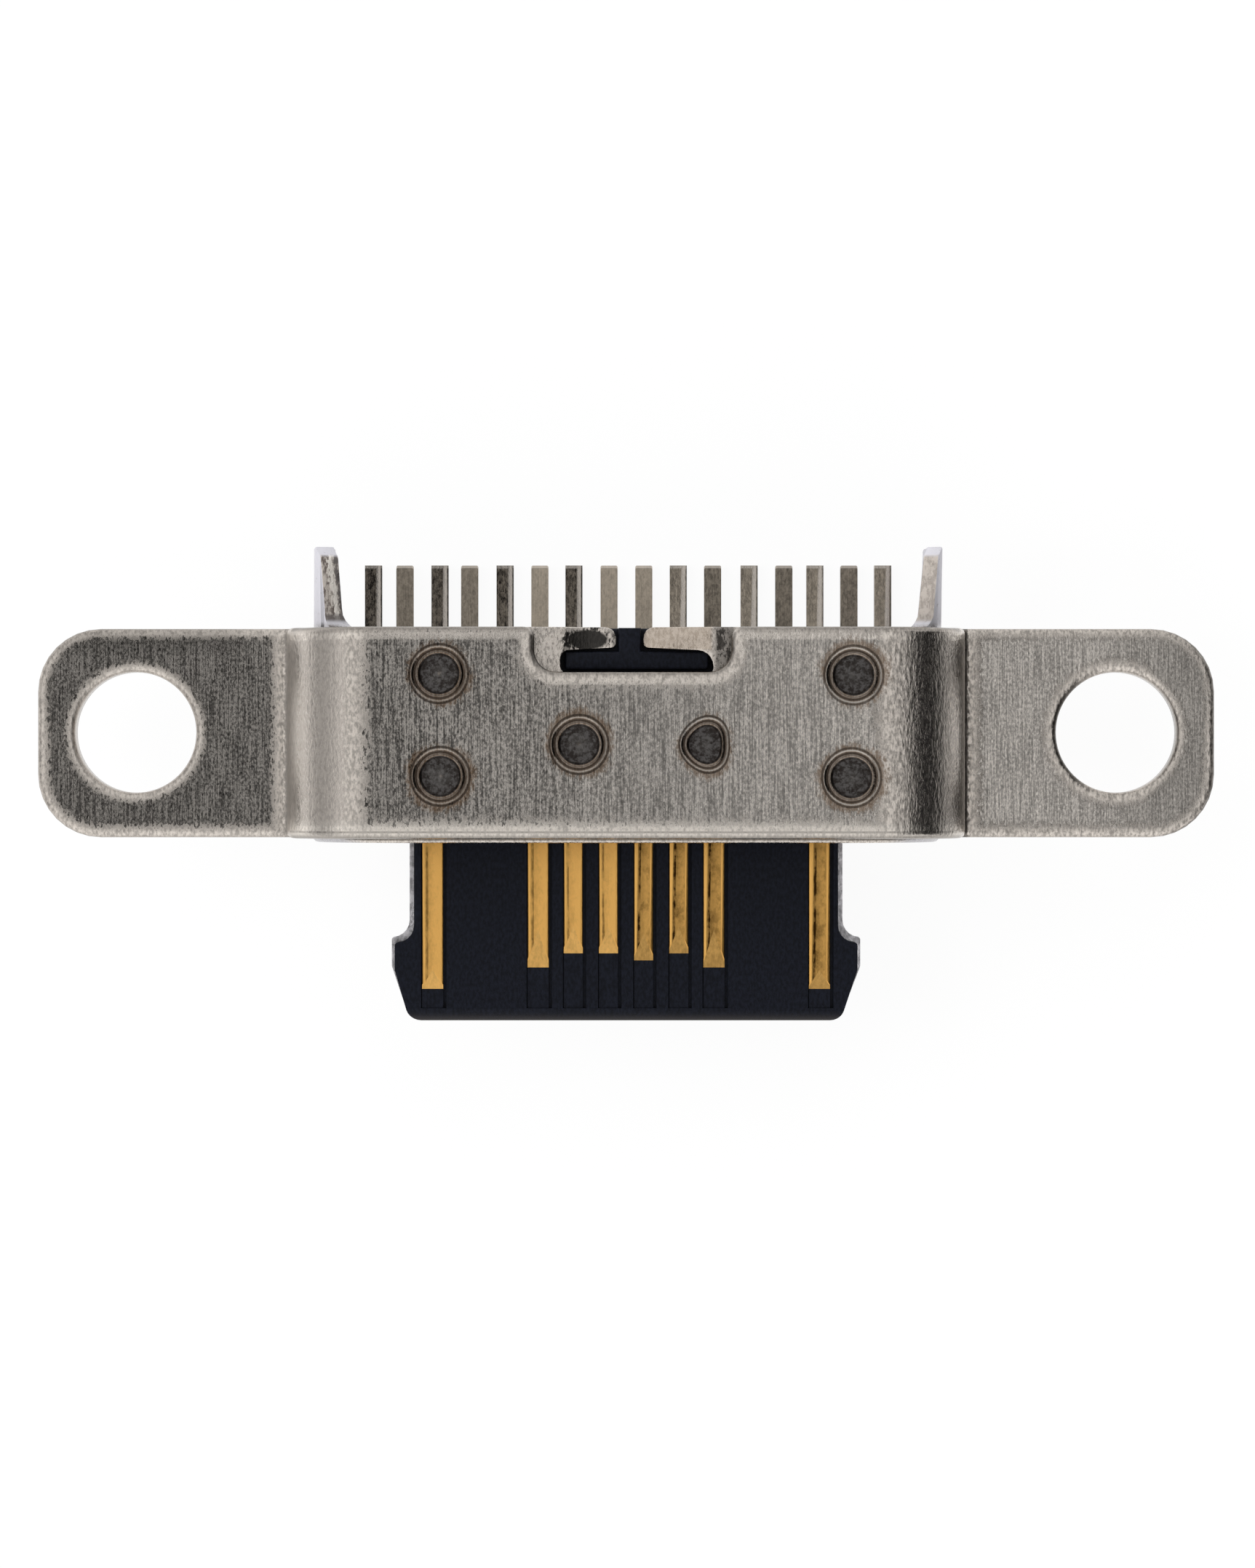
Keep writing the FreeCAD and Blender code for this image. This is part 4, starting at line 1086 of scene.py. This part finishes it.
def shell_finish(look):
    """Drawn stainless, warmer and painted lighter on the roof, painted lighter on the tabs, with torn brown
    cut edges on the tabs and painted shade in the left finger's hollow, beside the slot's right end and along
    the bracket's front edge.
    """
    def build(place):
        x, y, z = place.parts()
        spots, tone = use(EFFECTS["mottle"], place, 1.0)
        streak, = use(EFFECTS["grain"], place, 0.8)
        dirt, = use(EFFECTS["dirt"], place, 0.5)
        roof = z.ramp(1.2, 1.6)
        # The roof gets a warmer steel, painted lighter as well: painted light on the top face.
        base = roof.blend(look.shell, shade(look.steel, 1.2))
        steel = ((spots - 0.5) * (roof * 0.4 + 0.2) + 0.84).blend(BLACK, base)
        tab = y.ramp(1.48, 1.56)
        torn = mark(place, "torn") * y.ramp(1.52, 1.60) * y.ramp(2.46, 2.52, 1.0, 0.0)
        ridges = (place.stretched(11, 3.0, 6).noise(1.0, 3.0, 0.6, 0.6) * 0.8 + spots * 0.2).ramp(0.36, 0.56)
        # Painted shade in the left finger's hollow.
        hollow = ((x + 0.53) * 2.9).hypot((y - 1.275) * 5.9) + (ridges - 0.5) * 0.3
        hollow = hollow.ramp(0.85, 1.05, 1.0, 0.0) * z.ramp(1.4, 1.5)
        # Painted shade on the roof beside the slot's right end.
        slot_end_shade = (x - 1.37).size().ramp(0.10, 0.16, 1.0, 0.0) * y.ramp(0.78, 0.85) * roof
        brown = x.ramp(0.1, 0.2) * x.ramp(1.22, 1.16, 0.0, 1.0) * y.ramp(1.10, 1.16) * roof * 0.42
        # Painted shade: a dark line on the roof along the bracket's front edge.
        seam = band(y, -1.510, 0.016) * roof
        tint = layered(steel,
                       # Painted light: the tabs' outer faces get a lighter, bluer steel than the rest of the
                       # shell.
                       (tab * 0.9, (0.68, 0.67, 0.72)),
                       (torn * 0.9, torn_metal(place, ridges, spots)),
                       (dirt, (0.16, 0.13, 0.10)),
                       (hollow * 0.95, (0.02, 0.019, 0.018)),
                       (slot_end_shade * ridges.ramp(0.2, 0.8, 0.95, 0.60), (0.05, 0.045, 0.04)),
                       (brown, (0.55, 0.42, 0.30)),
                       (seam * 0.75, (0.10, 0.08, 0.06)))
        height = spots * 0.6 + tone * 0.6 + streak * 0.3 + torn * ridges * 2.0
        metal = torn * -0.25 - tab * x.ramp(-1.0, 1.0, 0.5, 0.7) + 1.0
        return tint, spots * 0.10 + tab * 0.25 + 0.22, height.relief(0.000004, 0.7), metal
    return finish("shell_steel", 1.0, build)


def plate_finish(look):
    """The latch plate's steel, lighter and darker in soft clouds and spots."""
    def build(place):
        spots, tone = use(EFFECTS["mottle"], place, 1.0)
        clouds = place.noise(7.0, 3.0, 0.6)
        worn = clouds.ramp(0.40, 0.60) * 0.6 + spots * 0.4
        steel = worn.shades(look.shell, 0.50, 1.35)
        return steel, tone * 0.15 + 0.22, (spots * 0.6 + tone).relief(0.000004, 0.6)
    return finish("latch_steel", 1.0, build)


def plastic_finish(look):
    """Fine-grained black moulding, a little browner at the tongue's tip."""
    def build(place):
        spots, tone = use(EFFECTS["mottle"], place, 1.0)
        fine = place.noise(45.0, 2.0, 0.6)
        tip = place.parts()[1].ramp(-3.98, -4.10)
        black = tip.blend(spots.shades(look.plastic, 0.7, 1.6), (0.017, 0.015, 0.016))
        return black, tone * 0.12 + fine * 0.10 + 0.34, (fine + spots * 0.5).relief(0.000002, 0.6)
    return finish("black_plastic", 0.0, build)


def gold_blades(look, place, x, spots, tone):
    """Gold: painted lighter on the left-hand blades and towards each blade's right side, with painted
    highlights along both edges and on the coined end, darker in patches beside the left edge.
    """
    across, along = strip_place(place)
    dirt, = use(EFFECTS["dirt"], place, 0.9)
    patches = place.stretched(9, 3, 6).noise(1.0, 3.0, 0.6).ramp(0.36, 0.60)
    clouds = place.stretched(8, 5, 5).noise(1.0, 4.0, 0.65).ramp(0.42, 0.66)
    left = x.ramp(-0.1, 0.1, 1.0, 0.0)
    # Painted light: the left-hand blades are lighter, and each blade lightens towards its right side.
    bright = across.ramp(-0.5, 0.55, 0.0, 0.20) + left * 0.36 + 0.42
    bright = bright + (tone - 0.5) * 0.2 + (spots - 0.5) * 0.10
    bright = bright - clouds * (left * -0.16 + 0.26) + 0.08
    bright = bright - band(across, -0.52, 0.13) * (patches * 0.42 + 0.08) - dirt * 0.15
    # Painted highlights along both edges of each blade.
    bright = bright.most(band(across, 0.80, 0.20)).most(band(across, -0.86, 0.15))
    # The coined end is a painted highlight, lighter on the left-hand blades.
    pad = (along + across.size() * 0.85).ramp(0.93, 1.0, 1.0, 0.0)
    coined = left * 0.30 + spots * 0.15 - clouds * 0.12 + 0.54
    return pad.blend(bright.blend((0.035, 0.016, 0.003), look.gold),
                     coined.blend((0.05, 0.025, 0.006), (1.0, 0.58, 0.175)))


def tin_tails(look, place, x, lower, spots, streak):
    """Dull tin, painted darker or lighter by where each tail lies, with a painted highlight along the upper
    contacts' right edge and lighter steel at the ends.
    """
    y = place.parts()[1]
    across = strip_place(place)[0]
    left = x.ramp(-0.1, 0.1, 1.0, 0.0)
    upper = lower * -1.0 + 1.0
    # Painted light and shade by place: the lower tails lighter near the middle, the upper tails on the left
    # darker.
    middle = (x + 0.5).size().ramp(0.8, 1.7, 0.20, 0.0) - x.ramp(0.8, 1.4, 0.0, 0.05)
    level = lower * (middle + left * 0.04 + 0.30) + upper * (left * -0.18 + 0.30)
    level = level + (streak - 0.5) * 0.12 + (spots - 0.5) * 0.16
    # A painted highlight along the upper contacts' right edge, and lighter steel at the tails' ends.
    strip = (band(across, 0.62, 0.28) * upper).most(y.ramp(2.41, 2.44) * (upper * 0.3 + 0.7))
    return (strip * 0.7).blend(level.blend((0.012, 0.011, 0.010), shade(look.tin, 2.8)), look.steel)


def contact_finish(look):
    """Gold on the blades and dull tin on the tails, which stand in turn in two rows."""
    def build(place):
        x, y, _ = place.parts()
        spots, tone = use(EFFECTS["mottle"], place, 1.0)
        streak, = use(EFFECTS["grain"], place, 0.9)
        tail = y.ramp(0.2, 0.6)
        lower = x.size().math("FRACT").ramp(0.45, 0.55, 1.0, 0.0)
        tint = tail.blend(gold_blades(look, place, x, spots, tone),
                          tin_tails(look, place, x, lower, spots, streak))
        roughness = spots * 0.06 + lower * tail * 0.20 - tail * 0.16 + 0.34
        height = spots * 0.6 + streak * 0.2 + tone * 0.4
        return tint, roughness, height.relief(0.000002, 0.7)
    return finish("contact_gold", 1.0, build)


FINISHES = {}


class CONNECTOR_OT_finishes(bpy.types.Operator):
    """Make the shared effects and the finishes"""
    bl_idname = "connector.finishes"
    bl_label = "Finishes"

    def execute(self, context):
        look = context.scene.connector_finish
        look = SimpleNamespace(**{key: tuple(getattr(look, key)) for key in type(look).__annotations__})
        make_effects()
        for name, build in (("bracket", bracket_finish), ("shell", shell_finish), ("latch", plate_finish),
                            ("plastic", plastic_finish), ("contact", contact_finish)):
            FINISHES[name] = build(look)
        return {"FINISHED"}


class CONNECTOR_OT_bracket(bpy.types.Operator):
    """Cut, roll and bend the bracket"""
    bl_idname = "connector.bracket"
    bl_label = "Bracket"

    def execute(self, context):
        finished(bracket_strip(context), FINISHES["bracket"], ["mounting_bracket"])
        return {"FINISHED"}


class CONNECTOR_OT_shell(bpy.types.Operator):
    """Wrap the shell"""
    bl_idname = "connector.shell"
    bl_label = "Shell"

    def execute(self, context):
        finished(shell_tube(context), FINISHES["shell"], ["outer_shell"])
        return {"FINISHED"}


class CONNECTOR_OT_tongue(bpy.types.Operator):
    """Mould the tongue round its latch plate"""
    bl_idname = "connector.tongue"
    bl_label = "Tongue"

    def execute(self, context):
        finished(tongue(context), FINISHES["plastic"], ["tongue_body"])
        finished(latch_plate(context), FINISHES["latch"], ["mid_plate"])
        return {"FINISHED"}


class CONNECTOR_OT_contacts(bpy.types.Operator):
    """Bend the sixteen contacts"""
    bl_idname = "connector.contacts"
    bl_label = "Contacts"

    def execute(self, context):
        for entry in CONTACTS:
            strip = contact(context, *entry)
            finished(strip, FINISHES["contact"], ["contact_" + entry[0]], smooth=14)
        return {"FINISHED"}


class CONNECTOR_OT_base(bpy.types.Operator):
    """Mould the rear block and give the hidden shields their finish"""
    bl_idname = "connector.base"
    bl_label = "Rear block and shields"

    def execute(self, context):
        finished(rear_block(context), FINISHES["plastic"], ["rear_base"])
        for name in ("upper_shield", "lower_shield"):
            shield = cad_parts[name]
            shield.data.materials.clear()
            shield.data.materials.append(FINISHES["shell"])
        return {"FINISHED"}


# Stage

# Height in mm at which the camera's view height is measured.
TONGUE_TOP = 0.5
# The floor's own colour, and the share of it that the camera and reflections see as light.
FLOOR_COLOUR = (0.93, 0.93, 0.93, 1)
FLOOR_GLOW = 0.93
WHITE = (1, 1, 1, 1)
# A lamp's side in metres, and the lamps: name, place in metres and watts. All are aimed at the middle.
LAMP_SIZE = 0.070
LAMPS = [("left_softbox", (-0.080, 0.01, 0.060), 0.055), ("rear_softbox", (0.0, 0.085, 0.070), 0.038),
         ("front_softbox", (0.0, -0.085, 0.070), 0.038)]


def floor_finish():
    """Pale matt floor that the camera and reflections see as near white, with the shadow kept; in reflections
    its glow fades beyond 9 mm to the right, a painted dark side.
    """
    material = bpy.data.materials.new("pale_floor")
    material.use_nodes = True
    tree = material.node_tree
    nodes, links = tree.nodes, tree.links
    nodes.clear()
    matt = nodes.new("ShaderNodeBsdfDiffuse")
    matt.inputs["Color"].default_value = FLOOR_COLOUR
    glow = nodes.new("ShaderNodeEmission")
    glow.inputs["Color"].default_value = WHITE
    ray = nodes.new("ShaderNodeLightPath")
    seen = Wire(tree, ray.outputs["Is Camera Ray"])
    share = seen.most(Wire(tree, ray.outputs["Is Glossy Ray"])) * FLOOR_GLOW
    across = object_place(tree).parts()[0]
    # Painted dark side for reflections: the floor's glow fades beyond 9 mm to the right.
    seen.most(across.ramp(9.0, 14.0, 1.0, 0.40)).to(glow.inputs["Strength"])
    mix = nodes.new("ShaderNodeMixShader")
    share.to(mix.inputs["Fac"])
    links.new(matt.outputs[0], mix.inputs[1])
    links.new(glow.outputs[0], mix.inputs[2])
    end = nodes.new("ShaderNodeOutputMaterial")
    links.new(mix.outputs[0], end.inputs["Surface"])
    return material


def studio_world():
    """A soft dome: bright on the left, lighter right of overhead, with a dark card low on the right."""
    world = bpy.data.worlds.new("studio")
    bpy.context.scene.world = world
    world.use_nodes = True
    tree = world.node_tree
    tree.nodes.clear()
    facing = tree.nodes.new("ShaderNodeTexCoord")
    x, y, z = Wire(tree, facing.outputs["Generated"]).parts()
    ramp = tree.nodes.new("ShaderNodeValToRGB")
    stops = [(0.00, 0.38), (0.15, 0.50), (0.22, 0.95), (0.46, 0.97), (0.50, 0.68), (0.55, 0.88), (1.00, 0.82)]
    ramp.color_ramp.elements.remove(ramp.color_ramp.elements[1])
    for place, value in stops:
        element = ramp.color_ramp.elements.new(place) if place else ramp.color_ramp.elements[0]
        element.color = (value, value, value, 1)
    (x * 0.5 + 0.5).to(ramp.inputs["Fac"])
    near = (x + 0.120).hypot(y * 0.6)
    lens = near.ramp(0.08, 0.18, 0.05, 1.0)
    card = x.ramp(0.27, 0.60) * y.size().ramp(0.40, 0.60, 1.0, 0.0)
    lens = lens.most(z.ramp(0.0, 0.2, 1.0, 0.0)) * y.ramp(0.1, 0.6, 1.0, 0.75) * (card * -0.98 + 1.0)
    background = tree.nodes.new("ShaderNodeBackground")
    tree.links.new(ramp.outputs["Color"], background.inputs["Color"])
    lens.to(background.inputs["Strength"])
    white = tree.nodes.new("ShaderNodeBackground")
    white.inputs["Color"].default_value = WHITE
    ray = tree.nodes.new("ShaderNodeLightPath")
    mix = tree.nodes.new("ShaderNodeMixShader")
    tree.links.new(ray.outputs["Is Camera Ray"], mix.inputs["Fac"])
    tree.links.new(background.outputs[0], mix.inputs[1])
    tree.links.new(white.outputs[0], mix.inputs[2])
    end = tree.nodes.new("ShaderNodeOutputWorld")
    tree.links.new(mix.outputs[0], end.inputs["Surface"])


def soft_light(name, place, power):
    """A soft square lamp aimed at the middle."""
    lamp = bpy.data.lights.new(name, "AREA")
    lamp.size = LAMP_SIZE
    lamp.energy = power
    light = bpy.data.objects.new(name, lamp)
    bpy.context.scene.collection.objects.link(light)
    light.visible_glossy = False
    light.location = place
    light.rotation_euler = (Vector() - Vector(place)).to_track_quat("-Z", "Y").to_euler()


class CONNECTOR_OT_stage(bpy.types.Operator):
    """Lay the floor and set the light and the camera"""
    bl_idname = "connector.stage"
    bl_label = "Stage"

    def execute(self, context):
        scene = context.scene
        stage = scene.connector_stage
        deselect()
        bpy.ops.mesh.primitive_plane_add(size=1.2, location=(0, 0, CAD_BOX[0][2] - 0.00001))
        floor = bpy.context.object
        floor.name = "floor"
        floor.data.materials.append(floor_finish())
        studio_world()
        for lamp in LAMPS:
            soft_light(*lamp)
        lens = bpy.data.cameras.new("camera")
        lens.sensor_fit = "VERTICAL"
        reach = stage.camera_height - TONGUE_TOP / MM
        lens.angle_y = 2 * math.atan(stage.view_height / 2 / reach)
        lens.clip_start = 0.002
        lens.clip_end = 5
        camera = bpy.data.objects.new("camera", lens)
        camera.location = (stage.camera_x, stage.camera_y, stage.camera_height)
        scene.collection.objects.link(camera)
        scene.camera = camera
        scene.view_settings.view_transform = "Standard"
        return {"FINISHED"}


STEPS = (CONNECTOR_OT_finishes, CONNECTOR_OT_bracket, CONNECTOR_OT_shell, CONNECTOR_OT_tongue,
         CONNECTOR_OT_contacts, CONNECTOR_OT_base, CONNECTOR_OT_stage)
GROUPS = {"connector_bracket": ConnectorBracketSizes, "connector_shell": ConnectorShellSizes,
          "connector_tongue": ConnectorTongueSizes, "connector_finish": ConnectorFinish,
          "connector_stage": ConnectorStage}


class CONNECTOR_PT_panel(bpy.types.Panel):
    """Lists the steps and their sizes"""
    bl_idname = "CONNECTOR_PT_panel"
    bl_label = "Connector"
    bl_space_type = "VIEW_3D"
    bl_region_type = "UI"
    bl_category = "Connector"

    def draw(self, context):
        for step in STEPS:
            self.layout.operator(step.bl_idname)
        for name, group in GROUPS.items():
            box = self.layout.box()
            for key in group.__annotations__:
                box.prop(getattr(context.scene, name), key)


def register():
    """Add the add-on's classes and settings."""
    for item in (*GROUPS.values(), *STEPS, CONNECTOR_PT_panel):
        bpy.utils.register_class(item)
    for name, group in GROUPS.items():
        setattr(bpy.types.Scene, name, PointerProperty(type=group))


def unregister():
    """Take them out again."""
    for name in GROUPS:
        delattr(bpy.types.Scene, name)
    for item in reversed((*GROUPS.values(), *STEPS, CONNECTOR_PT_panel)):
        bpy.utils.unregister_class(item)


def main():
    """Register the add-on and build everything."""
    register()
    for step in ("finishes", "bracket", "shell", "tongue", "contacts", "base", "stage"):
        getattr(bpy.ops.connector, step)()


if __name__ == "__main__":
    main()
